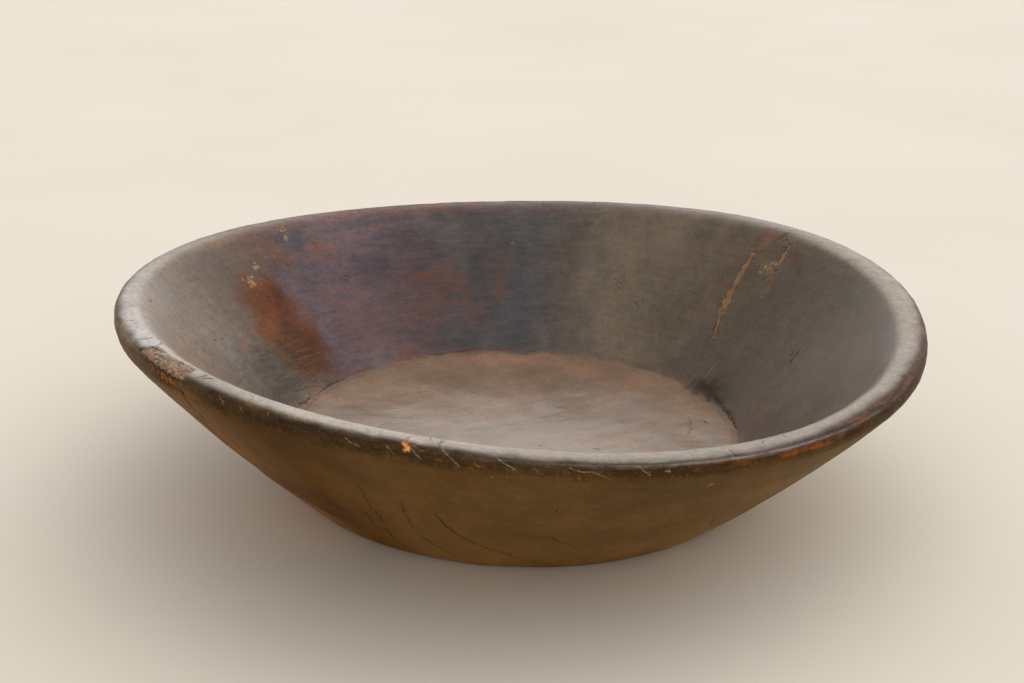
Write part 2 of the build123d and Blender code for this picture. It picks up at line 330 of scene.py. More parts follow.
# The broken stretch of the rim, the smooth wedge in its outer left part, and the loose flake on it
BREAK_OUTLINE = [
    (179.0, 9.5), (179.6, -2.5), (181.6, -3), (184.2, -2.5), (186.3, -3.5), (188.5, -6), (189.8, -5),
    (190.8, 1.5), (191.2, 9), (189, 10.6), (184, 10.2),
]
WEDGE_OUTLINE = [(179.3, 9.4), (179.5, 6.8), (180.4, 3.8), (183.2, 6), (183.6, 9), (181, 10.2)]
FLAKE_OUTLINE = [(182.2, 2.4), (182.6, -2.6), (183.4, -1.8), (183.2, 1.6)]
BREAK_DEPTH = 3.4  # how far the broken wood lies below the skin
BREAK_WEAR = 0.8  # how far the fill has worn down below the skin
BREAK_ROUGHNESS = 0.8
BREAK_TOP = -0.3  # no part of the fill stands higher over the skin than this
BREAK_THICKNESS = 2.0
BREAK_SINK = 3.0  # how far the fill's edge dips into the wood

# The repairs in the inner wall
PATCH_OUTLINE = [(11.4, -7.4), (6.2, -7), (7.2, -18), (8.8, -30), (10.2, -31.5), (10.9, -20)]
CRACK_FILL_TRAIL = [
    (10.2, -31), (10.3, -40), (10.3, -50), (10.1, -58), (9.8, -66), (9.5, -74), (9.2, -80), (8.7, -87),
    (7.7, -95), (6.5, -104),
]
CRACK_FILL_WIDTHS = [5.2, 5.0, 5.2, 5.6, 6.6, 8.2, 7.4, 4.6, 3.0, 1.6]
SIDE_FILL_TRAIL = [(4.0, -17), (3.7, -26), (3.3, -38)]
SIDE_FILL_WIDTHS = [2.2, 4.4, 3.0]
POCKET_DEPTH = 1.6  # how far the wood lies below the skin under a fill
POCKET_EDGE = (0.55, 0.85)  # where a pocket's side begins and ends, in halves of the fill's width
FILL_PROUD = 0.15
PATCH_PROUD = 0.05
FILL_TUCK = 0.5  # how far a fill's edge lies below the skin
FILL_THICKNESS = 1.2

# The lacquer's colour round each part of the bowl, as angles and colours, with painted sheen and
# reflection where the tables below say so, and the ways between which one part's colour gives way to the
# next
WALL_TO_RIM = (-9, -2)
RIM_TO_LIP = (0.0, 8.5)
LIP_TO_OUTER = (10.0, 24.0)
STRAY_ALONG = 2.6  # how far these ways are uneven
STRAY_ROUND = 0.06  # how far the angles are uneven, in radians
UNDER_LIP = 0.76  # how bright the outer wall's colour is just under the lip
DOWN_WALL = 0.36  # how much brighter it grows down the wall
BAND_STRENGTH = 0.8
BAND_STRAY = 7  # how uneven the orange band's edge is
BAND_FADE = (-13, 11)  # how far outside its outline it begins, and how far inside it is full
# On the wall, the pale grey-brown at 150 and 172 is dust with painted sheen and painted light from the
# right. The purple and blue-grey from 52 to 100 are partly the lacquer's colour and partly painted
# reflection of the surroundings.
WALL_COLOURS_AND_SHEEN = [
    (172, (132, 115, 98)), (150, (122, 105, 89)), (130, (94, 77, 60)), (112, (86, 68, 62)),
    (100, (107, 90, 94)), (82, (92, 77, 78)), (66, (86, 80, 79)), (52, (90, 84, 80)),
    (36, (124, 109, 93)), (8, (97, 84, 69)), (-16, (88, 76, 62)), (-40, (94, 80, 65)),
    (-75, (80, 65, 51)), (-120, (76, 63, 50)), (-155, (92, 78, 64)),
]
# The rim's top is pale where it shines, most of all at the left. This is partly dust and wear and partly
# painted sheen.
RIM_COLOURS_AND_SHEEN = [
    (178, (184, 177, 168)), (-167, (132, 118, 102)), (-157, (152, 138, 120)), (-147, (172, 157, 138)),
    (-120, (142, 127, 109)), (-90, (128, 112, 94)), (-60, (144, 128, 110)), (-20, (154, 139, 122)),
    (10, (132, 116, 100)), (40, (92, 74, 59)), (80, (92, 60, 42)), (112, (108, 84, 66)),
    (140, (148, 136, 122)),
]
LIP_COLOURS = [
    (180, (88, 72, 52)), (-165, (72, 54, 30)), (-140, (68, 49, 25)), (-110, (66, 47, 24)),
    (-90, (66, 40, 18)), (-60, (64, 33, 12)), (-20, (78, 46, 20)), (20, (74, 46, 22)),
    (90, (68, 46, 24)),
]
OUTER_COLOURS = [
    (178, (126, 90, 52)), (-168, (130, 92, 52)), (-154, (94, 62, 18)), (-142, (112, 82, 43)),
    (-120, (110, 82, 43)), (-100, (108, 80, 44)), (-80, (116, 90, 52)), (-30, (108, 82, 48)),
    (20, (94, 70, 43)), (120, (92, 68, 42)),
]
FLOOR_COLOUR = (122, 96, 71)
BASE_COLOUR = (112, 86, 58)
BAND_COLOUR = (107, 61, 31)

# Soft zones of colour: angle, way, reach round and along in millimetres, colour, strength
ZONE_FALL = 0.7  # how fast a zone fades
ZONE_SHIFTS = (18, 16)  # how far round and along a zone's edge is uneven
LEAST_SHIFTED = 16  # a zone that reaches less far than this is shifted less
ZONES = [
    # Left wall: pale grey-brown that is partly dust and partly painted sheen and light from the right, a
    # darker stretch low down, and brown and orange spots
    (158, -20, 40, 20, (134, 121, 107), 0.5),
    (152, -80, 20, 40, (114, 92, 74), 0.5),
    (143, -92, 18, 34, (122, 113, 103), 0.6),
    (136, -122, 42, 26, (58, 47, 37), 0.8),
    (136.5, -85, 4, 6, (146, 100, 62), 0.5),
    (130, -30, 26, 24, (98, 78, 60), 0.5),
    # Brown and red above and beside the orange band, with blue-grey and purple clouds that are partly the
    # lacquer's colour and partly painted reflection of the surroundings
    (120, -24, 18, 16, (106, 80, 60), 0.5),
    (106, -28, 11, 11, (66, 65, 71), 0.85),
    (93, -26, 20, 14, (118, 103, 107), 0.7),
    (100, -36, 9, 10, (128, 90, 66), 0.6),
    (113, -26, 7, 9, (126, 86, 68), 0.6),
    (110, -70, 10, 22, (98, 84, 98), 0.75),
    (110, -108, 9, 26, (98, 86, 98), 0.75),
    (102, -84, 26, 30, (108, 86, 92), 0.7),
    (97, -56, 20, 12, (98, 80, 90), 0.6),
    (95, -114, 24, 16, (102, 80, 82), 0.6),
    (88, -54, 15, 15, (78, 66, 76), 0.7),
    (90, -139, 8, 5, (140, 88, 58), 0.6),
    # Dark and bright places in the orange band
    (119.7, -54, 9, 6, (150, 86, 42), 0.7),
    (122.1, -49, 7, 5, (140, 90, 54), 0.6),
    (117.6, -66, 11, 10, (52, 28, 16), 0.9),
    (121.2, -77, 10, 6, (140, 68, 27), 0.8),
    (118.6, -87, 8, 7, (48, 32, 24), 0.8),
    (124.5, -87, 9, 9, (142, 88, 46), 0.6),
    (114.4, -95, 6, 11, (132, 70, 42), 0.8),
    (117.2, -108, 11, 10, (78, 46, 24), 0.8),
    (123.8, -111, 10, 10, (96, 70, 40), 0.7),
    (115.4, -124, 8, 8, (86, 58, 40), 0.7),
    # Dark blue-grey in the middle of the back, partly the lacquer's colour and partly painted reflection
    # of the surroundings
    (78, -24, 34, 12, (104, 97, 97), 0.6),
    (62, -30, 26, 20, (97, 93, 91), 0.7),
    (66.5, -62, 5, 26, (62, 58, 62), 0.5),
    (56, -84, 15, 34, (84, 84, 88), 0.75),
    (70, -128, 24, 13, (74, 72, 76), 0.7),
    (58, -120, 18, 20, (78, 77, 80), 0.6),
    # Olive and brown to the right
    (48, -60, 12, 50, (84, 75, 66), 0.5),
    (34, -92, 34, 40, (116, 103, 87), 0.6),
    (38, -40, 26, 26, (122, 107, 91), 0.5),
    (22, -24, 13, 15, (82, 71, 60), 0.5),
    (16, -86, 16, 30, (104, 89, 73), 0.5),
    (14, -60, 7, 16, (108, 84, 66), 0.4),
    (2, -100, 22, 40, (79, 69, 57), 0.5),
    (-26, -60, 22, 40, (98, 85, 71), 0.5),
    (-31, -124, 14, 18, (96, 73, 58), 0.5),
    # Brown and dark clouds on the wall nearest the viewer
    (-62, -70, 40, 36, (90, 68, 50), 0.6),
    (-88, -100, 34, 30, (60, 51, 44), 0.6),
    (-104, -40, 44, 22, (92, 70, 52), 0.6),
    (-128, -90, 30, 40, (88, 76, 64), 0.6),
    (-150, -60, 26, 34, (74, 58, 46), 0.6),
    (-120, -134, 60, 10, (56, 46, 38), 0.6),
    # Smears of filler beside the repairs
    (5.4, -36.5, 8, 5, (134, 110, 82), 0.6),
    (1.0, -24, 6, 5, (116, 82, 62), 0.5),
    (5, -11, 12, 6, (104, 78, 60), 0.5),
    # Red line on the rim's inner edge at the back, and tan to its left
    (80, -8, 100, 3.0, (122, 68, 46), 0.5),
    (122, -9, 60, 4, (132, 96, 68), 0.5),
    # Orange and grey on the floor; the pale zone at its front, at -118, is painted sheen
    (70, -156, 60, 7, (146, 110, 82), 0.6),
    (-118, -200, 70, 44, (142, 118, 94), 0.55),
    (40, -164, 50, 11, (148, 108, 80), 0.6),
    (14, -170, 36, 12, (138, 102, 78), 0.5),
    (112, -196, 44, 26, (140, 114, 92), 0.55),
    (60, -215, 40, 18, (122, 92, 68), 0.5),
    (10, -212, 34, 30, (112, 90, 74), 0.55),
    (2, -147.5, 30, 3, (140, 104, 82), 0.4),
    (134, -157, 36, 10, (146, 122, 100), 0.65),
    # Dark smudge at the floor's right edge
    (-4, -138, 13, 6, (50, 36, 24), 0.85),
    (-12, -142, 10, 4, (48, 35, 24), 0.8),
    (-4, -129, 9, 8, (72, 58, 46), 0.4),
    # At the front, a painted highlight on the rim's outer edge, then a dark blue-grey line of painted
    # reflection and a pale painted highlight on the ridge below it; purple-brown and orange to the right
    (-98, 5.4, 90, 1.6, (172, 160, 144), 0.6),
    (-104, 7.9, 120, 0.9, (54, 46, 52), 0.75),
    (-82, 6.4, 46, 2.4, (48, 30, 28), 0.75),
    (-58, 6, 50, 3.0, (66, 38, 24), 0.7),
    (-95, 9.9, 90, 0.8, (172, 158, 142), 0.75),
    (173, 9.5, 24, 2.4, (156, 130, 100), 0.6),
    # Dark wood below the break, darkened further by a painted shadow under the broken rim's overhang
    (-173, 13.5, 13, 3.6, (66, 42, 24), 0.8),
    # Painted contact shadow low on the outer wall at the left, and bare wood at the foot
    (-163, 125, 24, 40, (64, 38, 6), 0.6),
    (-116, 172, 12, 5, (140, 86, 38), 0.5),
    (-92, 166, 8, 8, (140, 84, 42), 0.5),
]

# The soft band where the lacquer has worn through to orange wood
ORANGE_BAND = [
    (125.5, -46), (119, -44), (115.4, -56), (113.4, -72), (112.4, -100), (112.6, -134), (125, -134),
    (128, -112), (128.5, -84), (127, -60),
]

# Soft places where red wood shows through in streaks: angle, way, reach round and along in
# millimetres, strength
RED_PLACES = [
    (113, -19, 5, 6, 0.9), (111, -27, 5, 7, 0.9), (108.5, -37, 6, 7, 0.8), (100, -40, 18, 10, 0.7),
    (120, -24, 14, 10, 0.4), (95, -112, 28, 16, 0.6), (101, -84, 26, 28, 0.55), (81, -70, 12, 11, 1.0),
    (79, -92, 14, 21, 0.85), (74, -74, 10, 14, 0.8), (70, -98, 6, 18, 0.9), (62.5, -76, 5, 22, 1.0),
    (68, -112, 7, 8, 0.8), (88, -80, 15, 24, 0.55), (90, -139, 10, 5, 0.6), (14, -62, 8, 16, 0.45),
    (-30, -124, 14, 18, 0.4), (125, -22, 16, 10, 0.4), (-78, -70, 24, 26, 0.5),
    (-112, -96, 30, 18, 0.45), (-140, -44, 26, 16, 0.4),
]

# Places where bare orange wood shows in streaks along the lip, in the same way
LIP_PLACES = [
    (-82, 13, 30, 2.4, 0.75), (-98, 12.5, 26, 2.4, 0.45), (-72, 6, 34, 1.6, 0.55),
    (-58, 8, 40, 3.0, 0.5), (-90, 5.5, 24, 1.2, 0.5), (-36, 8, 40, 4.0, 0.4), (10, 10, 90, 4.0, 0.3),
    (90, 11, 90, 4.0, 0.3), (-172, 14, 14, 3.0, 0.6), (-128, 15, 50, 2.0, 0.25),
    (160, 11, 50, 3.0, 0.3),
]

# How much paler the outer wall is at its foot, round the bowl: a painted warm glow of light thrown up
# onto it from below, strongest at the front
FOOT_PAINTED_GLOW = [(-180, 0.8), (-160, 0.95), (-60, 0.95), (-20, 0.4), (30, 0.0), (120, 0.0)]

# How far the lip's dark wood reaches in over the rim, and how much of the rim's gloss is left
LIP_REACH = [
    (-180, -1.2), (-163, 0.4), (-152, -0.9), (-138, -0.9), (-100, -2.4), (-88, -1.2), (-72, 3.3),
    (-60, 2.8), (-48, 1.0), (-36, -0.6), (-25, -1.4), (20, -1.4), (60, 1.0), (120, 0.0), (160, -1.4),
]
RIM_GLOSS = [
    (-180, 0.75), (-145, 0.8), (-115, 1.0), (-100, 1.0), (-60, 0.8), (-10, 0.6), (30, 0.3), (90, 0.12),
    (125, 0.45), (155, 0.75),
]

# How far the rim's colour and gloss run on over its inner edge, round the bowl
RIM_SPREAD = [
    (-180, 1.5), (-160, 3.0), (-100, 4.0), (-60, 3.0), (-45, 3.5), (-20, 4.5), (10, 3.0), (50, 0.0),
    (130, 0.0), (160, 0.5),
]

# How gritty and how streaky the inner wall is, round the bowl
PLAIN_GRIT = 0.45  # everywhere else
RIM_GRIT = 1.2  # and so much more on the rim's top
GRIT = [
    (-180, 1.1), (-120, 0.7), (-60, 0.45), (0, 0.4), (50, 0.25), (75, 0.4), (95, 0.75), (115, 1.1),
    (135, 1.5), (160, 1.3),
]
STREAKS = [
    (-180, 0.2), (-60, 0.3), (0, 0.2), (40, 0.25), (60, 0.45), (80, 0.7), (105, 0.75), (125, 0.5),
    (150, 0.2),
]

# How the surface shines along the section: way, specular level, roughness, warm streaks, dry specks
FINISH = [
    (-302, 0.8, 0.22, 0.65, 0.05),
    (-153, 0.8, 0.24, 0.65, 0.05),
    (-147, 0.2, 0.4, 0.35, 0.1),
    (-30, 0.2, 0.4, 0.35, 0.1),
    (-9, 0.3, 0.42, 0.5, 0.2),
    (-3, 0.52, 0.4, 0.15, 0.4),
    (3, 0.46, 0.4, 0.15, 0.45),
    (7, 0.08, 0.4, 0.4, 0.8),
    (16, 0.04, 0.46, 0.5, 0.7),
    (22, 0.06, 0.56, 0.3, 0.2),
    (338, 0.06, 0.6, 0.3, 0.2),
]


def srgb(colour):
    """A colour written as it looks, as the linear numbers that a shader takes."""
    value = np.asarray(colour, float) / 255
    return np.where(value < 0.04045, value / 12.92, ((value + 0.055) / 1.055) ** 2.4)


def unit(arrow):
    return arrow / np.linalg.norm(arrow)


def bowed_line(start, end, bow):
    """Points along a wall of the section, which bows to the right of its way by so much."""
    t = np.linspace(0, 1, WALL_POINTS)[:, None]
    along = end - start
    right = unit(np.array([along[1], -along[0]]))
    return start + along * t + right * (4 * bow * t * (1 - t))


def corner_arc(before, corner, after, radius):
    """Points round a corner of the section, which turns right there."""
    back = unit(before - corner)
    ahead = unit(after - corner)
    half = np.arccos(back @ ahead) / 2
    middle = corner + unit(back + ahead) * (radius / np.sin(half))
    arm = corner + back * (radius / np.tan(half)) - middle
    turn = -np.linspace(0, np.pi - 2 * half, ROUND_POINTS)
    x = np.cos(turn) * arm[0] - np.sin(turn) * arm[1]
    y = np.sin(turn) * arm[0] + np.cos(turn) * arm[1]
    return middle + np.stack([x, y], axis=-1)


def lengths_along(line):
    """How far along a line of points each of them lies."""
    steps = np.linalg.norm(np.diff(line, axis=0), axis=1)
    return np.concatenate([[0.0], np.cumsum(steps)])


def section_line():
    """The section from the floor's middle over the rim to the underside's middle, evenly spaced."""
    floor_edge = np.array([FLOOR_RADIUS, FLOOR_THICKNESS])
    inner_corner = np.array([RIM_RADIUS - RIM_WIDTH, RIM_HEIGHT])
    outer_corner = np.array([RIM_RADIUS, RIM_HEIGHT])
    lip_foot = np.array([RIM_RADIUS, RIM_HEIGHT - LIP_HEIGHT])
    base_edge = np.array([BASE_RADIUS, 0.0])
    inner_round = corner_arc(floor_edge, inner_corner, outer_corner, RIM_INNER_ROUND)
    outer_round = corner_arc(inner_corner, outer_corner, lip_foot, RIM_OUTER_ROUND)
    foot_round = corner_arc(outer_corner, lip_foot, base_edge, LIP_FOOT_ROUND)
    line = np.concatenate([
        [[0.0, FLOOR_THICKNESS]],
        bowed_line(floor_edge, inner_round[0], INNER_HOLLOW),
        inner_round,
        outer_round,
        foot_round,
        bowed_line(foot_round[-1], base_edge, -OUTER_BOW),
        [[0.0, 0.0]],
    ])
    length = lengths_along(line)
    even = np.arange(0.0, length[-1], SECTION_STEP)
    return np.stack([np.interp(even, length, line[:, 0]), np.interp(even, length, line[:, 1])], axis=-1)


def softened(line):
    """The section with its edges worn round."""
    reach = int(4 * EDGE_WEAR / SECTION_STEP)
    weights = np.exp(-0.5 * (np.arange(-reach, reach + 1) * SECTION_STEP / EDGE_WEAR) ** 2)
    longer = np.pad(line, ((reach, reach), (0, 0)), mode="reflect", reflect_type="odd")
    return [np.convolve(longer[:, k], weights / weights.sum(), "valid") for k in (0, 1)]


section_radius, section_height = softened(section_line())
rim_top = np.nonzero(section_height > RIM_HEIGHT - RIM_TOP_DEPTH)[0]
zero_gap = np.abs(section_radius[rim_top] - (RIM_RADIUS - ZERO_INSET))
section_way = (np.arange(len(section_radius)) - rim_top[np.argmin(zero_gap)]) * SECTION_STEP
inner = section_way < 0
lower = section_way >= PAST_LIP
inside_height = (section_height - FLOOR_THICKNESS) / (RIM_HEIGHT - FLOOR_THICKNESS)
section_share = np.where(inner, inside_height, section_height / RIM_HEIGHT).clip(0, 1)
section_drift = np.where(inner[:, None], FLOOR_DRIFT, BASE_DRIFT) * (1 - section_share)[:, None]
FLOOR_MIDDLE = section_way[0]
BASE_MIDDLE = section_way[-1]
FLOOR_EDGE = np.interp(FLOOR_RADIUS, section_radius[inner], section_way[inner])
BASE_EDGE = np.interp(-BASE_RADIUS, -section_radius[lower], section_way[lower])


def at_way(way, samples):
    """A value of the section at these ways."""
    return np.interp(way, section_way, samples)


def radius_at(way):
    return at_way(way, section_radius)


def rim_rise(angle):
    """How far the moved wood lifts the rim above its mean height, at an angle in radians."""
    saddle = SADDLE * np.cos(2 * angle)
    lean = LEAN * np.cos(angle - np.radians(LEAN_ANGLE))
    wave = WAVE * np.cos(3 * (angle - np.radians(WAVE_ANGLE)))
    return saddle + lean + wave


def skin_point(angle, way):
    """Points of the smooth skin, at angles in radians."""
    radius = radius_at(way) * (1 + OVAL * np.cos(2 * angle) / RIM_RADIUS)
    x = radius * np.cos(angle) + at_way(way, section_drift[:, 0])
    y = radius * np.sin(angle) + at_way(way, section_drift[:, 1])
    z = at_way(way, section_height) + at_way(way, section_share) * rim_rise(angle)
    return np.stack([x, y, z], axis=-1)


def skin_normal(angle, way):
    """Which way is out of the skin."""
    turn = 0.002
    step = 0.4
    round_it = skin_point(angle + turn, way) - skin_point(angle - turn, way)
    along = skin_point(angle, way + step) - skin_point(angle, way - step)
    out = np.cross(along, round_it)
    length = np.linalg.norm(out, axis=-1, keepdims=True)
    return np.where(length > TINY, out / np.maximum(length, TINY), (0, 0, 1))


def soft_noise(points, size, octaves=2):
    """Smooth noise, mostly from -0.6 to 0.6, with lumps of this size. Shifted points give other lumps."""
    return np.array([noise.fractal(p, 1.0, 2.0, octaves) for p in (points / size).tolist()])


def layered_noise(points, layers):
    """The sum of layers of noise, each with its own height, size of lumps, octaves and shift."""
    total = 0
    for height, size, octaves, shift in layers:
        total = total + height * soft_noise(points + shift, size, octaves)
    return total


def smooth_step(value, low, high):
    t = ((value - low) / (high - low)).clip(0, 1)
    return t * t * (3 - 2 * t)


def bell(value, middle, reach):
    return np.exp(-0.5 * ((value - middle) / reach) ** 2)


def turn_from(angle, degrees):
    """How far round each angle lies from one in degrees, at most half a turn either way."""
    return (angle - np.radians(degrees) + np.pi) % (2 * np.pi) - np.pi


def trail_of(places):
    """Close points over the skin through these places, and how far along each lies, from 0 to 1."""
    angle, way = np.array(places, float).T
    angle = np.radians(angle)
    length = lengths_along(skin_point(angle, way))
    even = np.linspace(0, length[-1], max(2, int(length[-1] / TRAIL_STEP) + 2))
    return np.interp(even, length, angle), np.interp(even, length, way), even / max(length[-1], TINY)


Cloud = namedtuple("Cloud", "points order sorted_x")


def sorted_cloud(points):
    """Points with their order along X, so that those near a trail are soon found."""
    order = np.argsort(points[:, 0])
    return Cloud(points, order, points[order, 0])


def near_trail(cloud, trail, margin):
    """Which points lie near a trail, how far from it each lies, and at which of its places."""
    low = trail.min(axis=0) - margin
    high = trail.max(axis=0) + margin
    first, last = np.searchsorted(cloud.sorted_x, [low[0], high[0]])
    close = cloud.order[first:last]
    points = cloud.points
    close = close[np.all((points[close] > low) & (points[close] < high), axis=1)]
    distance = np.zeros(len(close))
    nearest = np.zeros(len(close), int)
    for part in np.array_split(np.arange(len(close)), len(close) // CHUNK + 1):
        gap = np.linalg.norm(points[close[part], None] - trail, axis=2)
        distance[part] = gap.min(axis=1, initial=FAR)
        nearest[part] = gap.argmin(axis=1)
    return close, distance, nearest


def depth_inside(angle, way, outline):
    """How far inside a closed outline each place lies, in millimetres. Outside is below 0."""
    corners = np.array(outline, float)
    middle = corners.mean(axis=0)
    scale = radius_at(middle[1])
    place = np.stack([turn_from(angle, middle[0]) * scale, way], axis=-1)
    corners = np.stack([np.radians(corners[:, 0] - middle[0]) * scale, corners[:, 1]], axis=-1)
    nearest = np.full(len(place), FAR)
    inside = np.zeros(len(place), bool)
    for start, end in zip(corners, np.roll(corners, -1, axis=0)):
        along = end - start
        share = ((place - start) @ along / (along @ along)).clip(0, 1)
        nearest = np.minimum(nearest, np.linalg.norm(place - start - share[:, None] * along, axis=1))
        crosses = (start[1] > place[:, 1]) != (end[1] > place[:, 1])
        slope = (end[0] - start[0]) / (end[1] - start[1] + TINY)
        inside ^= crosses & (place[:, 0] < start[0] + (place[:, 1] - start[1]) * slope)
    return np.where(inside, nearest, -nearest)


def clustered_marks(chance):
    """Small marks strewn about the middle of each cluster."""
    marks = []
    for kind, count, width, angle, way, reach_round, reach_along in CLUSTERS:
        per_mm = np.degrees(1 / radius_at(way))
        for _ in range(count):
            size = width * chance.uniform(*CLUSTER_SIZES)
            turn = angle + reach_round * per_mm * chance.normal()
            along = way + reach_along * chance.normal()
            lean = chance.uniform(0, 2 * np.pi)
            end = (turn + size * per_mm * np.cos(lean), along + size * np.sin(lean))
            marks.append((kind, size, [(turn, along), end]))
    return marks


def strewn_marks(chance):
    """Marks of wear strewn over whole stretches of the skin."""
    marks = []
    for kind, count, width, length, turn_low, turn_high, way_low, way_high, lean in STREWN:
        for _ in range(count):
            angle = chance.uniform(turn_low, turn_high)
            way = chance.uniform(way_low, way_high)
            tilt = np.radians(lean + LEAN_SPREAD * chance.normal())
            half = length * chance.uniform(*STREWN_LENGTHS)
            aside = np.degrees(half * np.sin(tilt) / max(radius_at(way), LEAST_RADIUS))
            bend = aside * BEND_SPREAD * chance.normal()
            along = half * np.cos(tilt)
            places = [(angle - aside, way - along), (angle + bend, way), (angle + aside, way + along)]
            marks.append((kind, width * chance.uniform(*STREWN_SIZES), places))
    return marks


def looseness(size):
    """How far a mark of this size may stray, where 1 is the most."""
    return min(1.0, 0.4 + 0.5 * size)


def mark_trails():
    """The trail of every mark, as its kind, half its width at each point, and the points."""
    chance = np.random.default_rng(SEED)
    trails = []
    for kind, width, places in MARKS + clustered_marks(chance) + strewn_marks(chance):
        angles, ways, share = trail_of(places)
        loose = STRAIGHT if kind in (SCUFF, RUB) else looseness(width)
        stray = loose * soft_noise(skin_point(angles, ways), STRAY_SIZE, 3)
        points = skin_point(angles + stray / STRAY_RADIUS, ways + stray)
        ends = np.sqrt(np.minimum(1, TAPER * np.minimum(share, 1 - share) + BLUNT))
        trails.append((kind, width / 2 * ends, points))
    return trails


TRAILS = mark_trails()


def fill_trail(places, widths):
    angles, ways, share = trail_of(places)
    half = np.interp(share, np.linspace(0, 1, len(widths)), widths) / 2
    return angles, ways, half


CRACK_FILL = fill_trail(CRACK_FILL_TRAIL, CRACK_FILL_WIDTHS)
SIDE_FILL = fill_trail(SIDE_FILL_TRAIL, SIDE_FILL_WIDTHS)


def wanted_length(angle, way, points):
    """How long an edge of the skin may be at these places."""
    wanted = np.full(len(points), FAR)
    cloud = sorted_cloud(points)
    for kind, half, trail in TRAILS:
        widest = half.max()
        close, distance, _ = near_trail(cloud, trail, MARK_MARGIN)
        finest = max(FINEST, 0.6 * widest) * (1.0 if kind.depth > SHALLOW else SHALLOW_EDGES)
        allowed = finest + COARSENING * np.maximum(distance - 1.2 * widest, 0)
        wanted[close] = np.minimum(wanted[close], allowed)
    for angles, ways, _ in (CRACK_FILL, SIDE_FILL):
        close, distance, _ = near_trail(cloud, skin_point(angles, ways), FILL_MARGIN)
        allowed = REPAIR_EDGE + COARSENING * np.maximum(distance - 5.0, 0)
        wanted[close] = np.minimum(wanted[close], allowed)
    for outline, fine in ((BREAK_OUTLINE, REPAIR_EDGE), (PATCH_OUTLINE, PATCH_EDGE)):
        outside = -depth_inside(angle, way, outline)
        wanted = np.minimum(wanted, fine + COARSENING * np.maximum(outside - 2.0, 0))
    return wanted


def ring_ways():
    """Where the skin's rings lie along the section: close together on the rim and at the edges."""
    steps = [
        (FLOOR_MIDDLE, 5.0), (FLOOR_MIDDLE + 60, 10.0), (FLOOR_EDGE - 22, 5.0), (FLOOR_EDGE - 7, 1.2),
        (FLOOR_EDGE + 4, 1.2), (FLOOR_EDGE + 14, 4.2), (-19, 4.2), (-14, 1.6), (-4, 1.4), (17, 1.2),
        (24, 4.2), (BASE_EDGE - 12, 4.2), (BASE_EDGE - 3, 1.0), (BASE_EDGE + 3, 1.0),
        (BASE_EDGE + 16, 6.0), (BASE_MIDDLE - 60, 10.0), (BASE_MIDDLE, 5.0),
    ]
    places, lengths = np.array(steps).T
    ways = [FLOOR_MIDDLE + lengths[0]]
    last = BASE_MIDDLE - 8.0
    while ways[-1] < last:
        ways.append(ways[-1] + np.interp(ways[-1], places, lengths))
    return ways


def ring_count(way):
    halvings = max(0, int(np.ceil(np.log2(THIN_RADIUS / radius_at(way)))))
    return COLUMNS >> min(halvings, MOST_HALVINGS)


def drum_mesh():
    """The skin's net on a drum: round it runs the angle, and along it the way."""
    ways = ring_ways()
    counts = [ring_count(way) for way in ways]
    firsts = np.concatenate([[0], np.cumsum(counts)])
    points = []
    for way, count in zip(ways, counts):
        turn = 2 * np.pi * np.arange(count) / count
        points += np.stack([np.cos(turn), np.sin(turn), np.full(count, way)], axis=-1).tolist()
    faces = []
    for k in range(len(ways) - 1):
        here, there = firsts[k], firsts[k + 1]
        n, m = counts[k], counts[k + 1]
        few = min(n, m)
        for j in range(few):
            near = [here + (j * n // few + i) % n for i in range(n // few + 1)]
            far = [there + (j * m // few + i) % m for i in range(m // few + 1)]
            faces.append([near[0]] + far + near[:0:-1])
    floor_middle = len(points)
    base_middle = floor_middle + 1
    points += [(0, 0, FLOOR_MIDDLE), (0, 0, BASE_MIDDLE)]
    last = firsts[len(ways) - 1]
    faces += [(floor_middle, j, (j + 1) % counts[0]) for j in range(counts[0])]
    faces += [(base_middle, last + (j + 1) % counts[-1], last + j) for j in range(counts[-1])]
    drum = bmesh.new()
    corners = [drum.verts.new(p) for p in points]
    for face in faces:
        drum.faces.new([corners[k] for k in face])
    return drum


def on_skin(drum):
    """Angles and ways of the drum's points."""
    place = np.array([v.co for v in drum.verts])
    return np.arctan2(place[:, 1], place[:, 0]), place[:, 2]


def refine(drum):
    """Splits the edges that are too long for what lies beside them."""
    for _ in range(REFINE_ROUNDS):
        drum.verts.ensure_lookup_table()
        drum.verts.index_update()
        angle, way = on_skin(drum)
        points = skin_point(angle, way)
        edges = list(drum.edges)
        ends = np.array([[v.index for v in edge.verts] for edge in edges])
        length = np.linalg.norm(points[ends[:, 0]] - points[ends[:, 1]], axis=1)
        splittable = np.nonzero(length > TOO_LONG * FINEST)[0]
        middle = np.array([edges[k].verts[0].co + edges[k].verts[1].co for k in splittable]) / 2
        turn = np.arctan2(middle[:, 1], middle[:, 0])
        wanted = wanted_length(turn, middle[:, 2], skin_point(turn, middle[:, 2]))
        too_long = [edges[k] for k in splittable[length[splittable] > TOO_LONG * wanted]]
        if not too_long:
            break
        bmesh.ops.subdivide_edges(drum, edges=too_long, cuts=1, use_grid_fill=True)


def round_value(knots, angle):
    """A value that changes steadily round the bowl."""
    turns, values = zip(*knots)
    return np.interp(np.degrees(angle), turns, values, period=360)


def round_colour(knots, angle):
    turns, colours = zip(*knots)
    parts = srgb(colours).T
    return np.stack([round_value(list(zip(turns, part)), angle) for part in parts], axis=-1)


def toward(tint, colour, share):
    return tint + share[:, None] * (colour - tint)


def band_share(angle, way, points):
    """How far the lacquer is gone in the orange band, with uneven edges."""
    inside = depth_inside(angle, way, ORANGE_BAND) + BAND_STRAY * soft_noise(points + 500, 12.0, 4)
    return smooth_step(inside, *BAND_FADE)


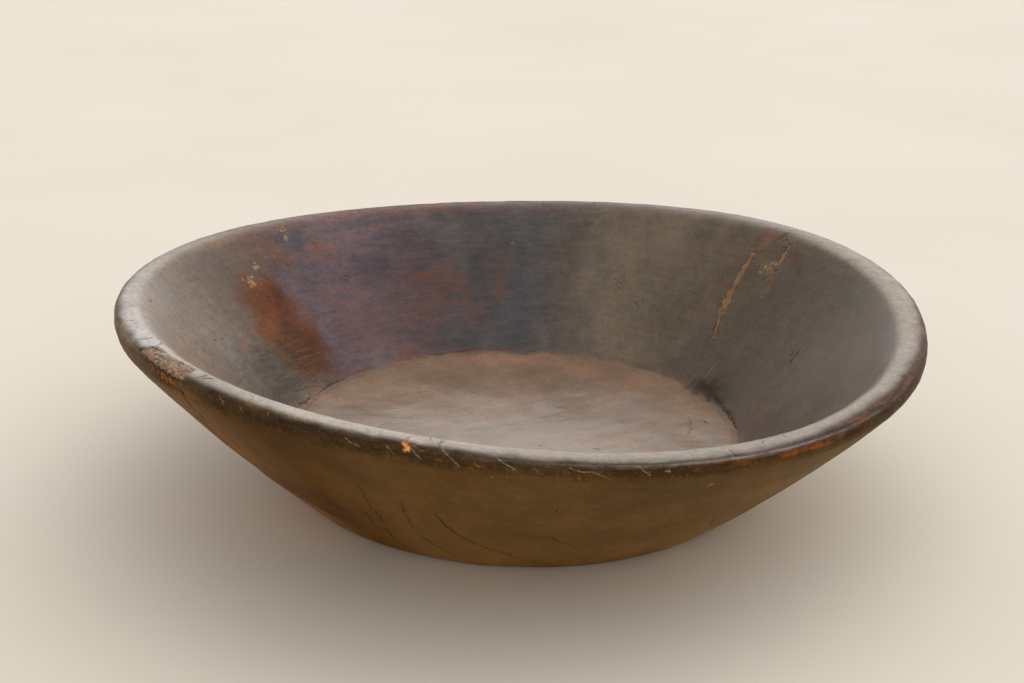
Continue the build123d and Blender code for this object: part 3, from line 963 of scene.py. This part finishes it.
def soft_place(angle, way, place, shift_round=0.0, shift_along=0.0):
    """How far a soft place covers each point, from 0 to 1. Shifts in millimetres make its edge uneven."""
    place_angle, place_way, reach_round, reach_along = place
    aside = turn_from(angle, place_angle) * radius_at(place_way) / reach_round
    above = (way - place_way) / reach_along
    aside = aside + shift_round / max(reach_round, LEAST_SHIFTED)
    above = above + shift_along / max(reach_along, LEAST_SHIFTED)
    return np.exp(-ZONE_FALL * (aside ** 2 + above ** 2))


def skin_colour(angle, way, points):
    """The lacquer's colour with its soft zones, whose edges are uneven, and the painted sheen,
    reflections, shadows and glow set among them.
    """
    uneven = way + STRAY_ALONG * soft_noise(points + 200, 12.0, 3)
    turned = angle + STRAY_ROUND * soft_noise(points, 26.0, 4)
    on_wall = smooth_step(way, FLOOR_EDGE - 1.5, FLOOR_EDGE + 2)
    on_rim = smooth_step(way + round_value(RIM_SPREAD, turned), *WALL_TO_RIM)
    on_lip = smooth_step(uneven + round_value(LIP_REACH, turned), *RIM_TO_LIP)
    # Painted warm glow at the foot of the outer wall, standing for light thrown up from below
    foot = round_value(FOOT_PAINTED_GLOW, angle) * smooth_step(way, 100, BASE_EDGE)
    fall = UNDER_LIP + DOWN_WALL * smooth_step(way, 20, 90) + foot
    outer_colour = round_colour(OUTER_COLOURS, turned) * fall[:, None]
    tint = np.tile(srgb(FLOOR_COLOUR), (len(way), 1))
    tint = toward(tint, round_colour(WALL_COLOURS_AND_SHEEN, turned), on_wall)
    tint = toward(tint, round_colour(RIM_COLOURS_AND_SHEEN, turned), on_rim)
    tint = toward(tint, round_colour(LIP_COLOURS, turned), on_lip)
    tint = toward(tint, outer_colour, smooth_step(uneven, *LIP_TO_OUTER))
    tint = toward(tint, srgb(BASE_COLOUR), smooth_step(way, BASE_EDGE - 3, BASE_EDGE + 4))
    tint = toward(tint, srgb(BAND_COLOUR), BAND_STRENGTH * band_share(angle, way, points))
    shift_round = ZONE_SHIFTS[0] * soft_noise(points + 300, 22.0, 4)
    shift_along = ZONE_SHIFTS[1] * soft_noise(points + 700, 22.0, 4)
    for *place, colour, strength in ZONES:
        share = strength * soft_place(angle, way, place, shift_round, shift_along)
        tint = toward(tint, srgb(colour), share)
    return tint


def summed_places(places, angle, way):
    """How strongly a list of soft places covers each point, from 0 to 1."""
    left = np.ones(len(way))
    for *place, strength in places:
        left *= 1 - strength * soft_place(angle, way, place)
    return 1 - left


def worn_through(angle, way, points):
    """How far the lacquer has worn thin to orange and red wood, and to orange wood along the lip."""
    orange = band_share(angle, way, points)
    red = summed_places(RED_PLACES, angle, way)
    lip = summed_places(LIP_PLACES, angle, way)
    return np.stack([orange, red, lip], axis=-1)


def mark_shares(points):
    """Each mark's kind, the points that it touches, and how far it covers them, with uneven edges."""
    shares = []
    cloud = sorted_cloud(points)
    for kind, half, trail in TRAILS:
        widest = half.max()
        close, distance, nearest = near_trail(cloud, trail, 2.5 * widest + 0.5)
        ragged = RAGGED * looseness(widest) * soft_noise(points[close], 0.7 + 0.9 * widest, 3)
        shares.append((kind, close, 1 - smooth_step(distance / half[nearest] + ragged, *MARK_FADE)))
    return shares


def fill_depth(points):
    """How far the wood is let in below the wall fills, from 0 to 1."""
    depth = np.zeros(len(points))
    cloud = sorted_cloud(points)
    for angles, ways, half in (CRACK_FILL, SIDE_FILL):
        close, distance, nearest = near_trail(cloud, skin_point(angles, ways), FILL_MARGIN)
        depth[close] = np.maximum(depth[close], 1 - smooth_step(distance / half[nearest], *POCKET_EDGE))
    return depth


def edge_shift(points, way):
    """How far the floor's worn edge strays along the section."""
    return EDGE_STRAY * soft_noise(points, 24.0, 3) * bell(way, FLOOR_EDGE, 7.0)


def front_facet(angle, way):
    """How far the rim's outer edge is rubbed flat at the front, with a sharp ridge below."""
    turn = np.degrees(turn_from(angle, FACET_ANGLE))
    share = 1 - smooth_step(np.abs(turn), *FACET_ENDS)
    return FACET_DEPTH * share * (bell(way, 10.0, 0.9) - bell(way, 7.2, 1.8))


def broken_depth(angle, way, points):
    """How far inside the broken stretch of the rim each place lies, with a ragged edge."""
    return depth_inside(angle, way, BREAK_OUTLINE) + 1.3 * soft_noise(points, 3.5, 3)


def wood_height(angle, way, points, shares):
    """How far the wood stands above the smooth skin: the carving, the wear and every crack and pocket."""
    on_rim = 1 - smooth_step(np.abs(way - 4), 14, 24)
    carved = layered_noise(points, CARVED_LAYERS) - CARVED_DOWN
    rubbed = layered_noise(points, RUBBED_LAYERS) - RUBBED_DOWN
    height = carved + on_rim * (rubbed - carved)
    height += front_facet(angle, way)
    groove = bell(way, FLOOR_EDGE - 2.0, 0.9) * (0.5 + 0.8 * soft_noise(points, 14.0))
    residue = bell(way, FLOOR_EDGE + 0.5, 1.6) * (1.3 * soft_noise(points + 20, 5.0, 3)).clip(0, 1)
    height += residue - groove
    for kind, close, share in shares:
        height[close] -= kind.depth * share
    height -= POCKET_DEPTH * fill_depth(points)
    patch = depth_inside(angle, way, PATCH_OUTLINE)
    height -= POCKET_DEPTH * smooth_step(patch, 0.5, 1.1)
    height -= BREAK_DEPTH * smooth_step(broken_depth(angle, way, points), -0.2, 1.8)
    return height


def mark_colours(count, shares):
    """The marks' colours, and how strongly they cover the lacquer."""
    cover = np.zeros(count)
    colour = np.zeros((count, 3))
    for kind, close, share in shares:
        more = kind.strength * share > cover[close]
        colour[close[more]] = srgb(kind.colour)
        cover[close] = np.maximum(cover[close], kind.strength * share)
    return np.concatenate([colour, cover[:, None]], axis=1)


def worn_share(way, points):
    """How far the lacquer is rubbed off the edges of the lip, the floor and the base."""
    edges = [(17.5, 1.4, 0.25), (BASE_EDGE, 1.5, 0.8), (FLOOR_EDGE, 1.0, 0.3), (10.0, 0.8, 0.25)]
    worn = sum(strength * bell(way, middle, reach) for middle, reach, strength in edges)
    patchy = 0.6 + 1.2 * soft_noise(points, 22.0, 3)
    return (worn * patchy).clip(0, 1)


def fine_detail(angle, way):
    """How gritty and how streaky the skin is."""
    on_wall = smooth_step(way, FLOOR_EDGE - 2, FLOOR_EDGE + 4) * (1 - smooth_step(way, -12, -4))
    grit = PLAIN_GRIT + on_wall * (round_value(GRIT, angle) - PLAIN_GRIT)
    grit += RIM_GRIT * bell(way, 0.0, 6.0)
    streaks = on_wall * round_value(STREAKS, angle)
    return np.stack([grit, streaks, np.zeros(len(way))], axis=-1)


ATTRIBUTE_KINDS = {
    1: ("FLOAT", "value"),
    3: ("FLOAT_VECTOR", "vector"),
    4: ("FLOAT_COLOR", "color"),
}


def put_attribute(mesh, name, values):
    """Values at every point of a mesh: single numbers, arrows, or colours with an alpha."""
    values = np.asarray(values, np.float32).reshape(len(mesh.vertices), -1)
    kind, field = ATTRIBUTE_KINDS[values.shape[1]]
    mesh.attributes.new(name, kind, "POINT").data.foreach_set(field, values.ravel())


def finish_piece(name, mesh, node, material):
    mesh.materials.append(material)
    mesh.shade_smooth()
    piece = bpy.data.objects.new(name, mesh)
    bpy.context.scene.collection.objects.link(piece)
    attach(piece, "root")
    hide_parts(node)
    return piece


def surface_finish(angle, way):
    """How the surface shines: specular level, roughness, warm streaks and dry specks."""
    lipped = way + round_value(LIP_REACH, angle) * bell(way, 4.0, 5.0)
    lipped += round_value(RIM_SPREAD, angle) * bell(way, -9.0, 5.0)
    places, *columns = zip(*FINISH)
    finish = [np.interp(lipped, places, column) for column in columns]
    finish[0] *= 1 - bell(way, 0.0, 8.0) * (1 - round_value(RIM_GLOSS, angle))
    return np.stack(finish, axis=-1)


def drum_place(angle, way, slant):
    """Places for a texture that runs round the wall and down it, at a slant in radians for each mm."""
    turn = angle + slant * way
    return np.stack([np.cos(turn) * DRUM_RADIUS, np.sin(turn) * DRUM_RADIUS, way], axis=-1) * MM


def make_body(material):
    drum = drum_mesh()
    refine(drum)
    angle, way = on_skin(drum)
    way = way + edge_shift(skin_point(angle, way), way)
    smooth = skin_point(angle, way)
    shares = mark_shares(smooth)
    height = wood_height(angle, way, smooth, shares)
    points = smooth + skin_normal(angle, way) * height[:, None]
    points[:, 2] = np.maximum(points[:, 2], 0)
    for corner, point in zip(drum.verts, points * MM):
        corner.co = point
    mesh = bpy.data.meshes.new("bowl")
    drum.to_mesh(mesh)
    drum.free()
    attributes = {
        "tint": np.hstack([skin_colour(angle, way, smooth), np.ones((len(way), 1))]),
        "mark": mark_colours(len(way), shares),
        "worn": worn_share(way, smooth),
        "thin": worn_through(angle, way, smooth),
        "finish": surface_finish(angle, way),
        "fine": fine_detail(angle, way),
        "drum": drum_place(angle, way, 0.0),
        "slant": drum_place(angle, way, SLANT),
    }
    for name, values in attributes.items():
        put_attribute(mesh, name, values)
    return finish_piece("bowl", mesh, "bowl_body", material)


def closed_sheet(name, angle, way, height, thickness):
    """A closed mesh over a grid of places: its top so high over the skin, its underside so far below."""
    out = skin_normal(angle, way)
    top = skin_point(angle, way) + out * height.reshape(angle.shape + (1,))
    low = top - out * thickness
    points = np.concatenate([top.reshape(-1, 3), low.reshape(-1, 3)]) * MM
    grid = np.arange(angle.size).reshape(angle.shape)
    quads = [grid[:-1, :-1], grid[:-1, 1:], grid[1:, 1:], grid[1:, :-1]]
    quads = np.stack(quads, axis=-1).reshape(-1, 4)
    edge = np.concatenate([grid[0], grid[1:, -1], grid[-1, -2::-1], grid[-2:0:-1, 0]])
    after = np.roll(edge, -1)
    sides = np.stack([after, edge, edge + angle.size, after + angle.size], axis=-1)
    faces = np.concatenate([quads, quads[:, ::-1] + angle.size, sides])
    mesh = bpy.data.meshes.new(name)
    mesh.from_pydata(points.tolist(), [], faces.tolist())
    return mesh


def grid_over(outline, margin, step):
    """Angles and ways of a grid that covers an outline and a little more."""
    corners = np.array(outline, float)
    scale = radius_at(corners[:, 1].mean())
    spare = np.degrees(margin / scale)
    low = np.radians(corners[:, 0].min() - spare)
    high = np.radians(corners[:, 0].max() + spare)
    turns = np.linspace(low, high, int((high - low) * scale / step) + 2)
    ways = np.arange(corners[:, 1].min() - margin, corners[:, 1].max() + margin + step, step)
    return np.meshgrid(turns, ways, indexing="ij")


def make_break_fill(material):
    angle, way = grid_over(BREAK_OUTLINE, 1.6, 0.5)
    points = skin_point(angle, way).reshape(-1, 3)
    places = angle.ravel(), way.ravel()
    inside = broken_depth(*places, points)
    wedge = smooth_step(depth_inside(*places, WEDGE_OUTLINE) + soft_noise(points, 3.0), 0.0, 0.7)
    flake = smooth_step(depth_inside(*places, FLAKE_OUTLINE), -0.3, 0.5)
    rough = BREAK_ROUGHNESS * (soft_noise(points, 3.2, 4) + soft_noise(points + 70, 11.0, 3))
    height = -BREAK_WEAR + rough * (1 - wedge) + 0.4 * wedge + 0.5 * flake
    height = np.where(flake > 0.5, np.maximum(height, BREAK_TOP), height)
    height -= BREAK_SINK * (1 - smooth_step(inside, -1.4, 0.6))
    height = np.minimum(height, BREAK_TOP)
    mesh = closed_sheet("rim_break_filler", angle, way, height, BREAK_THICKNESS)
    # The look's third part, how high the fill stands, darkens its low places as painted shade
    look = np.stack([wedge, flake, smooth_step(height, -2.0, -0.5), np.ones(len(points))], axis=-1)
    put_attribute(mesh, "look", np.concatenate([look, look]))
    return finish_piece("rim_break_filler", mesh, "rim_break_fill", material)


def make_patch(material):
    angle, way = grid_over(PATCH_OUTLINE, 1.0, 0.6)
    points = skin_point(angle, way).reshape(-1, 3)
    inside = depth_inside(angle.ravel(), way.ravel(), PATCH_OUTLINE) + 0.9 * soft_noise(points, 4.0, 3)
    height = PATCH_PROUD - (FILL_TUCK + PATCH_PROUD) * (1 - smooth_step(inside, -0.5, 0.6))
    mesh = closed_sheet("rim_patch_inlay", angle, way, height, FILL_THICKNESS)
    middle = smooth_step(inside, -0.5, 4.0)
    put_attribute(mesh, "middle", np.concatenate([middle, middle]))
    return finish_piece("rim_patch_inlay", mesh, "rim_patch", material)


def make_ribbon_fill(name, trail, node, material):
    """A fill along a trail: a low rounded ribbon whose edges are tucked below the skin."""
    angles, ways, half = trail
    share = np.linspace(-1, 1, RIBBON_COLUMNS)
    scale = radius_at(ways)
    slope_round = np.gradient(angles) * scale
    slope_along = np.gradient(ways)
    half = half * (1 + 0.7 * soft_noise(skin_point(angles, ways), 5.0, 3))
    reach = half / np.hypot(slope_round, slope_along)
    angle = angles[:, None] + share * (slope_along * reach / scale)[:, None]
    way = ways[:, None] - share * (slope_round * reach)[:, None]
    points = skin_point(angle, way).reshape(-1, 3)
    uneven = 0.2 * soft_noise(points, 3.4, 3).reshape(angle.shape)
    height = FILL_PROUD + uneven - (FILL_PROUD + FILL_TUCK) * np.abs(share) ** 3
    mesh = closed_sheet(name, angle, way, height, FILL_THICKNESS)
    return finish_piece(name, mesh, node, material)


def set_inputs(node, inputs):
    """Links or sets inputs of a node."""
    for key, value in inputs.items():
        if isinstance(value, Value):
            node.id_data.links.new(value.socket, node.inputs[key])
        else:
            node.inputs[key].default_value = value


def add_node(tree, kind, inputs, **settings):
    """A new node with these settings and inputs."""
    made = tree.nodes.new(kind)
    for name, value in settings.items():
        setattr(made, name, value)
    set_inputs(made, inputs)
    return made


class Value:
    """An output of a node. To reckon with it adds nodes to the same tree."""

    def __init__(self, node, output=0):
        self.tree = node.id_data
        self.socket = node.outputs[output]

    def into(self, kind, inputs, output=0, **settings):
        """An output of a new node in this value's tree."""
        return Value(add_node(self.tree, kind, inputs, **settings), output)

    def __add__(self, other):
        return self.into("ShaderNodeMath", {0: self, 1: other}, operation="ADD")

    def __mul__(self, other):
        return self.into("ShaderNodeMath", {0: self, 1: other}, operation="MULTIPLY")

    def ranged(self, low, high, to_low=0.0, to_high=1.0, **settings):
        """This value carried over from one range to another, and held within it."""
        inputs = {"Value": self, "From Min": low, "From Max": high, "To Min": to_low, "To Max": to_high}
        return self.into("ShaderNodeMapRange", inputs, **settings)

    def swing(self, reach, by, about=0.0):
        """Noise within this reach of its own middle, carried over to swing about a value by so much."""
        return self.ranged(0.5 - reach, 0.5 + reach, about - by, about + by)

    def parts(self):
        """The three numbers of a colour or an arrow."""
        kind = "ShaderNodeSeparateColor" if self.socket.type == "RGBA" else "ShaderNodeSeparateXYZ"
        made = add_node(self.tree, kind, {0: self})
        return [Value(made, k) for k in range(3)]

    def lumps(self, sizes, detail=3.0, roughness=0.55):
        """Noise from 0 to 1 at these places, with lumps of these sizes in millimetres."""
        scale = [1 / (size * MM) for size in np.broadcast_to(sizes, 3)]
        scaled = self.into("ShaderNodeMapping", {"Vector": self, "Scale": scale})
        inputs = {"Vector": scaled, "Scale": 1.0, "Detail": detail, "Roughness": roughness}
        return self.into("ShaderNodeTexNoise", inputs, "Fac")

    def shaded(self, shade):
        """This colour times a value."""
        return self.into("ShaderNodeVectorMath", {0: self, "Scale": shade}, operation="SCALE")


def mixed(share, start, end, blend="MIX"):
    """A colour so far from one toward another. A colour of three numbers is written as it looks."""
    ends = [c if isinstance(c, Value) or len(c) == 4 else (*srgb(c), 1.0) for c in (start, end)]
    inputs = {0: share, 6: ends[0], 7: ends[1]}
    return share.into("ShaderNodeMix", inputs, 2, data_type="RGBA", blend_type=blend)


def new_material(name):
    """A material with its Principled shader alone, and the places of its object's points."""
    material = bpy.data.materials.new(name)
    material.use_nodes = True
    return material, Value(add_node(material.node_tree, "ShaderNodeTexCoord", {}), "Object")


def attribute(material, name, output):
    return Value(add_node(material.node_tree, "ShaderNodeAttribute", {}, attribute_name=name), output)


def dressed(material, colour, rough, gloss, relief=None, depth=0.0):
    """The material with its colour, roughness and gloss, and fine relief so many millimetres deep."""
    inputs = {"Base Color": colour, "Roughness": rough, "Specular IOR Level": gloss}
    if relief is not None:
        bump = {"Height": relief, "Distance": depth * MM, "Strength": 1.0}
        inputs["Normal"] = relief.into("ShaderNodeBump", bump, "Normal")
    shader = next(n for n in material.node_tree.nodes if n.type == "BSDF_PRINCIPLED")
    set_inputs(shader, inputs)
    return material


# The materials' colours as they look, in sRGB
RED_WOOD = (118, 70, 50)
BAND_DARK = (98, 56, 29)
BAND_BRIGHT = (134, 75, 36)
BAND_LOW = (92, 60, 34)
BAND_HEART = (66, 40, 24)
LIP_DARK = (36, 25, 17)
LIP_ORANGE = (158, 86, 30)
FINE_SCRATCH = (168, 150, 126)
DRY_PALE = (150, 114, 70)
DRY_DARK = (40, 30, 22)
RUBBED_WOOD = (140, 86, 44)
FILL_DARK = (124, 89, 60)
FILL_PALE = (156, 117, 81)
FILL_SPECK = (78, 58, 42)
PATCH_DARK = (104, 75, 55)
PATCH_PALE = (128, 90, 64)
PATCH_BORDER = (92, 76, 61)
CRUMB_DARK = (98, 70, 48)
CRUMB_PALE = (172, 142, 110)
FIBRE_PALE = (192, 150, 108)
FIBRE_DARK = (60, 42, 28)
BREAK_STAIN = (150, 96, 58)
BREAK_HOLLOW_SHADE = (66, 45, 30)
BREAK_SPECK = (70, 51, 37)
WEDGE_BROWN = (140, 92, 62)
FLAKE_GREY = (148, 140, 128)
FLOOR_DIM = (228, 218, 202)
FLOOR_PALE = (232, 223, 208)

# What warm streaks and cool smears do to the red, green and blue under them
WARM_STREAK = (1.26, 0.96, 0.78, 1)
COOL_SMEAR = (0.9, 0.92, 1.0, 1)


def wood_material():
    material, place = new_material("lacquered_wood")
    drum = attribute(material, "drum", "Vector")
    slant = attribute(material, "slant", "Vector")
    worn = attribute(material, "worn", "Fac")
    mark = attribute(material, "mark", "Alpha")
    dry = attribute(material, "finish", "Alpha")
    gloss, rough, warm = attribute(material, "finish", "Color").parts()
    orange, red, lip = attribute(material, "thin", "Vector").parts()
    grit, streaky, _ = attribute(material, "fine", "Vector").parts()
    way = drum.parts()[2]
    on_wall = way.ranged((FLOOR_EDGE - 2) * MM, (FLOOR_EDGE + 2) * MM)
    on_lip = way.ranged(4 * MM, 7 * MM) * way.ranged(20 * MM, 14 * MM)

    # Noises along the grain, in all directions, round the wall and down it
    grain = place.lumps((60, 6, 6), 4.0, 0.6)
    fibre = place.lumps((14, 1.2, 1.2))
    cloud = place.lumps(42, 5.0, 0.6)
    blotch = place.lumps(11, 5.0, 0.65)
    smear = place.lumps(5, 4.0, 0.7)
    speck = place.lumps(2.2, 4.0, 0.65)
    gritty = place.lumps(1.7, 4.0, 0.75)
    dust = place.lumps(0.9, 2.0)
    brushed = drum.lumps((18, 18, 4.0), 5.0, 0.6)
    falling = slant.lumps((5, 5, 30), 4.0, 0.6)
    around = drum.lumps((30, 30, 0.8), 2.0).ranged(0.62, 0.76)
    down = slant.lumps((0.9, 0.9, 26), 2.0).ranged(0.62, 0.76)
    scratched = (around + down) * on_wall
    lines = mixed(on_wall, grain, brushed)
    uneven = brushed.swing(0.5, 0.6) + blotch.swing(0.5, 0.6)

    # The lacquer, lighter and darker, with warm streaks and cool smears
    shade = cloud.swing(0.25, 0.22, 1) * blotch.swing(0.25, 0.13, 1) * speck.swing(0.25, 0.1, 1)
    shade = shade * fibre.swing(0.2, 0.06, 1) * falling.swing(0.2, 0.05, 1) * lines.swing(0.2, 0.05, 1)
    shade = shade * ((gritty.swing(0.2, 0.16) + smear.swing(0.2, 0.15)) * grit + 1.0)
    shade = shade * (brushed.swing(0.2, 0.2) * streaky + 1.0)
    colour = attribute(material, "tint", "Color").shaded(shade)
    streaks = lines.ranged(0.46, 0.66) * (warm + streaky * 0.5)
    colour = mixed(streaks, colour, WARM_STREAK, "MULTIPLY")
    colour = mixed(smear.ranged(0.48, 0.36) * streaky, colour, COOL_SMEAR, "MULTIPLY")

    # Red wood in streaks, and the orange band
    finer = uneven + speck.swing(0.5, 0.4)
    reddened = (red + finer * red.ranged(0, 0.3, 0, 1.2)).ranged(0.3, 1.3)
    colour = mixed(reddened * 0.62 * on_wall, colour, RED_WOOD)
    band = (orange + uneven * orange.ranged(0, 0.4, 0, 0.42)).ranged(0.06, 1.0)
    flame = blotch * 0.75 + falling * 0.25
    heart = orange + uneven * 2.0
    bare = mixed(flame.ranged(0.36, 0.66), BAND_DARK, BAND_BRIGHT)
    bare = mixed(way.ranged(-90 * MM, -116 * MM, 0, 0.7), bare, BAND_LOW)
    bare = mixed(heart.ranged(0.7, 1.7, 0, 0.7), bare, BAND_HEART)
    bare = bare.shaded(brushed.swing(0.2, 0.3, 1)).shaded(speck.swing(0.2, 0.25, 1))
    colour = mixed(band * 0.45, colour, bare)

    # The lip's dark and bare wood, fine scratches, dry specks, rubbed edges and every mark
    colour = mixed(brushed.ranged(0.54, 0.38) * on_lip * 0.5, colour, LIP_DARK)
    bare_lip = (lip + uneven * lip.ranged(0, 0.2)).ranged(0.4, 0.9)
    colour = mixed(bare_lip * 0.85, colour, LIP_ORANGE)
    colour = mixed(scratched * 0.07, colour, FINE_SCRATCH)
    colour = mixed(speck.ranged(0.58, 0.7) * (dry * 0.3), colour, DRY_PALE)
    colour = mixed(speck.ranged(0.44, 0.32) * (dry * 0.5), colour, DRY_DARK)
    rubbed = (worn + speck.swing(0.2, 0.4)).ranged(0.4, 0.8)
    colour = mixed(rubbed * 0.6, colour, RUBBED_WOOD)
    cover = mark * speck.ranged(0.3, 0.6, 0.7, 1.1)
    colour = mixed(cover, colour, attribute(material, "mark", "Color"))

    rough = rough + cloud.swing(0.25, 0.07) + scratched * 0.08 + mark * 0.25 + speck.swing(0.2, 0.05)
    gloss = gloss * mark.ranged(0, 1, 1, 0.3) * band.ranged(0, 1, 1, 0.3)
    relief = grain * 0.45 + fibre * 0.25 + blotch * 0.7 + speck * (dry * 0.7 + 0.06) + dust * 0.12
    relief = relief + gritty * grit * 0.4 + scratched * -0.2
    return dressed(material, colour, rough, gloss, relief, depth=0.22)


def crack_fill_material():
    material, place = new_material("crack_fill")
    streak = place.lumps((6, 6, 14), 4.0)
    speck = place.lumps(1.5)
    colour = mixed(streak.ranged(0.35, 0.65), FILL_DARK, FILL_PALE)
    colour = mixed(speck.ranged(0.56, 0.7, 0, 0.5), colour, FILL_SPECK)
    rough = speck.ranged(0.3, 0.7, 0.5, 0.75)
    return dressed(material, colour, rough, gloss=0.3, relief=speck + streak, depth=0.3)


def patch_material():
    material, place = new_material("patch")
    cloud = place.lumps((7, 7, 12), 4.0)
    fibre = place.lumps((20, 1.2, 1.2))
    colour = mixed(cloud.ranged(0.3, 0.7), PATCH_DARK, PATCH_PALE)
    colour = colour.shaded(fibre.ranged(0.3, 0.7, 0.88, 1.1))
    colour = mixed(attribute(material, "middle", "Fac"), PATCH_BORDER, colour)
    rough = cloud.ranged(0.3, 0.7, 0.36, 0.5)
    return dressed(material, colour, rough, gloss=0.34, relief=fibre, depth=0.1)


def break_fill_material():
    material, place = new_material("break_fill")
    wedge, flake, raised = attribute(material, "look", "Color").parts()
    crumb = place.lumps(3.0, 5.0, 0.65)
    speck = place.lumps(0.9)
    stain = place.lumps(9)
    fibre = place.lumps((1.4, 7, 1.4), 4.0, 0.65)
    colour = mixed(crumb.ranged(0.35, 0.65), CRUMB_DARK, CRUMB_PALE)
    layers = [
        (fibre.ranged(0.5, 0.64, 0, 0.6), FIBRE_PALE),
        (fibre.ranged(0.46, 0.36, 0, 0.8), FIBRE_DARK),
        (stain.ranged(0.48, 0.64, 0, 0.6), BREAK_STAIN),
        # Painted shade in the fill's low places and along its sunk edge
        (raised.ranged(0.1, 0.8, 0.85, 0.0), BREAK_HOLLOW_SHADE),
        (speck.ranged(0.56, 0.68, 0, 0.6), BREAK_SPECK),
        (wedge * 0.9, WEDGE_BROWN),
        (flake, FLAKE_GREY),
    ]
    for share, layer in layers:
        colour = mixed(share, colour, layer)
    rough = crumb.ranged(0.3, 0.7, 0.5, 0.75)
    return dressed(material, colour, rough, gloss=0.5, relief=crumb + fibre + speck * 0.4, depth=0.45)


def floor_material():
    material, place = new_material("pale_floor")
    colour = mixed(place.lumps(400).ranged(0.3, 0.7), FLOOR_DIM, FLOOR_PALE)
    return dressed(material, colour, rough=0.8, gloss=0.2)


# The view: the photograph's angle, with the grain running back to the right
PICTURE_WIDTH = 1024
FOCAL_PIXELS = 1800.0
SENSOR_WIDTH = 36.0
VIEW_TURN = -32.2  # degrees round Z from looking along +Y
VIEW_DISTANCE = 1233.3
VIEW_PITCH = 0.351  # radians down
VIEW_YAW = -0.006
VIEW_ROLL = 0.029
VIEW_LIFT = 92.7

# Where the light comes from, seen from the camera's side: right, back, up
BACK_LIGHT = (0.28, 0.9, 0.34)
SIDE_LIGHT = (0.6, 0.3, 0.75)
AMBIENT = 0.66
BACK_STRENGTH = 1.1
SIDE_STRENGTH = 0.25
BACK_SPREAD = (0.25, 0.97)  # cosines from the light's edge to its full strength
SIDE_SPREAD = (0.4, 0.95)
FLOOR_REACH = 14.0  # metres from the middle to each side of the floor

turned = Matrix.Rotation(np.radians(VIEW_TURN), 4, "Z")


def add_camera():
    pitch, yaw = VIEW_PITCH, VIEW_YAW
    eye = Vector((0, -VIEW_DISTANCE * np.cos(pitch), VIEW_DISTANCE * np.sin(pitch) + VIEW_LIFT)) * MM
    ahead = Vector((np.sin(yaw) * np.cos(pitch), np.cos(yaw) * np.cos(pitch), -np.sin(pitch)))
    level = Vector((np.cos(yaw), -np.sin(yaw), 0))
    upright = level.cross(ahead)
    right = level * np.cos(VIEW_ROLL) + upright * np.sin(VIEW_ROLL)
    up = upright * np.cos(VIEW_ROLL) - level * np.sin(VIEW_ROLL)
    lens = bpy.data.cameras.new("camera")
    lens.sensor_fit = "HORIZONTAL"
    lens.sensor_width = SENSOR_WIDTH
    lens.lens = FOCAL_PIXELS * SENSOR_WIDTH / PICTURE_WIDTH
    camera = bpy.data.objects.new("camera", lens)
    axes = Matrix((right, up, -ahead)).transposed().to_4x4()
    camera.matrix_world = turned @ Matrix.Translation(eye) @ axes
    bpy.context.scene.collection.objects.link(camera)
    bpy.context.scene.camera = camera


def light_lobe(direction, toward_light, spread, strength):
    """A soft light that is strongest toward one side."""
    aim = turned @ Vector(toward_light).normalized()
    inputs = {0: direction, 1: aim}
    cosine = direction.into("ShaderNodeVectorMath", inputs, "Value", operation="DOT_PRODUCT")
    return cosine.ranged(*spread, 0.0, strength, interpolation_type="SMOOTHSTEP")


def add_world():
    """White to the camera, and a soft light from all round, stronger from the back and from the right."""
    world = bpy.data.worlds.new("studio")
    bpy.context.scene.world = world
    world.use_nodes = True
    tree = world.node_tree
    direction = Value(add_node(tree, "ShaderNodeTexCoord", {}), "Generated")
    back = light_lobe(direction, BACK_LIGHT, BACK_SPREAD, BACK_STRENGTH)
    side = light_lobe(direction, SIDE_LIGHT, SIDE_SPREAD, SIDE_STRENGTH)
    seen = Value(add_node(tree, "ShaderNodeLightPath", {}), "Is Camera Ray")
    lit = seen.into("ShaderNodeMix", {0: seen, 2: back + side + AMBIENT, 3: 1.0}, data_type="FLOAT")
    shade = next(n for n in tree.nodes if n.type == "BACKGROUND")
    set_inputs(shade, {"Color": (1, 1, 1, 1), "Strength": lit})


def add_floor():
    mesh = bpy.data.meshes.new("floor")
    far = FLOOR_REACH
    mesh.from_pydata([(-far, -far, 0), (far, -far, 0), (far, far, 0), (-far, far, 0)], [], [(0, 1, 2, 3)])
    mesh.materials.append(floor_material())
    floor = bpy.data.objects.new("floor", mesh)
    bpy.context.scene.collection.objects.link(floor)


bpy.context.scene.view_settings.view_transform = "Standard"
add_camera()
make_body(wood_material())
filler = crack_fill_material()
make_ribbon_fill("wall_crack_filler", CRACK_FILL, "wall_crack_fill", filler)
make_ribbon_fill("wall_side_filler", SIDE_FILL, "wall_side_fill", filler)
make_patch(patch_material())
make_break_fill(break_fill_material())
add_floor()
add_world()
